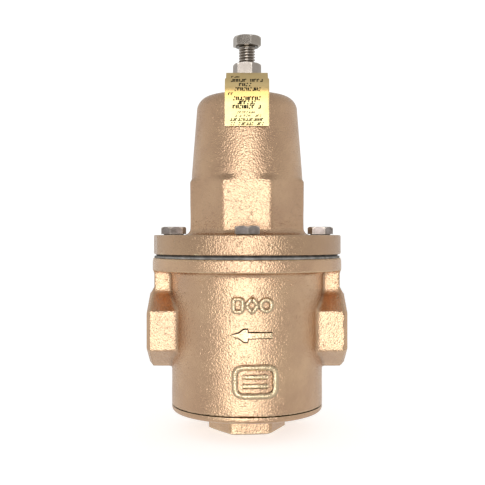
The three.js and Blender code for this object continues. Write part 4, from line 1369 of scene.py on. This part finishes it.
hole_rows = outline(in_mm((0, 198), (5.3, 198), (5.3, 204), (0, 204)))
hole = turned("tag_hole", hole_rows, sheet_brass, 48)
cut(tag, hole)
bevel = tag.modifiers.new("edge", "BEVEL")
bevel.width = 0.15 * MM
bevel.segments = 2
bevel.limit_method = "ANGLE"
bevel.angle_limit = math.radians(50)
settled(tag)
bpy.data.objects.remove(hole)
crisp(tag, 35)

# Stamping: each row of marks is a line of small cells, and each cell is two strokes; a few cells are left
# empty.
rng = np.random.default_rng(23)
stamp_points, stamp_faces = [], []


def stroke(across, along, width, length):
    """One stamped stroke: a thin raised-edge slab that follows the tag's face."""
    base = len(stamp_points)
    for lift in (-0.05 * MM, 0.03 * MM):
        for a, s in ((-1, -1), (1, -1), (1, 1), (-1, 1)):
            stamp_points.append(tag_point(across + a * width / 2, along + s * length / 2, lift))
    for quad in ((4, 5, 6, 7), (3, 2, 1, 0), (0, 1, 5, 4), (1, 2, 6, 5), (2, 3, 7, 6), (3, 0, 4, 7)):
        stamp_faces.append(tuple(base + corner for corner in quad))


ROWS = [
    # distance along the strip, start and end across it, cell width, stroke height and width, all in mm
    (36.8, -8.6, -4.6, 1.5, 1.3, 0.5),
    (39.6, -8.9, 8.9, 1.75, 1.9, 0.7),
    (42.4, -4.4, 4.4, 1.75, 1.8, 0.7),
    (45.0, -6.9, 6.9, 1.6, 1.8, 0.65),
    (47.6, -10.2, -6.8, 1.4, 1.4, 0.5),
    (50.0, -7.7, 7.7, 1.7, 1.9, 0.72),
    (52.2, -5.3, 5.3, 1.7, 1.8, 0.72),
    (54.5, -7.8, 7.8, 1.7, 1.9, 0.72),
    (57.5, -5.4, 5.4, 1.2, 0.9, 0.4),
    (59.3, -7.8, 7.8, 1.2, 1.0, 0.4),
    (61.4, -9.3, 9.3, 1.4, 1.4, 0.52),
    (63.6, -9.0, 9.0, 1.4, 1.4, 0.52),
]
for row_along, first, last, cell_width, tall, heavy in ROWS:
    cells = int(round((last - first) / cell_width))
    along = row_along * MM
    high = tall * MM
    thick = heavy * MM
    for cell in range(cells):
        if rng.random() < 0.10:
            continue
        centre = (first + (cell + 0.5) * cell_width) * MM
        aside = 0.28 * cell_width * MM
        kind = rng.integers(0, 4)
        if kind in (0, 1):
            stroke(centre - aside, along, thick, high)
        if kind in (0, 2):
            stroke(centre + aside, along, thick, high)
        if kind in (1, 3):
            stroke(centre + 0.5 * aside, along - 0.4 * high, 1.6 * aside, thick)
        if kind in (2, 3):
            stroke(centre - 0.5 * aside, along + 0.4 * high, 1.6 * aside, thick)
stamps = mesh_piece("stamps", stamp_points, stamp_faces, ink)
tag = joined(tag, stamps)
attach(tag, "rating_tag")
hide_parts("rating_tag")
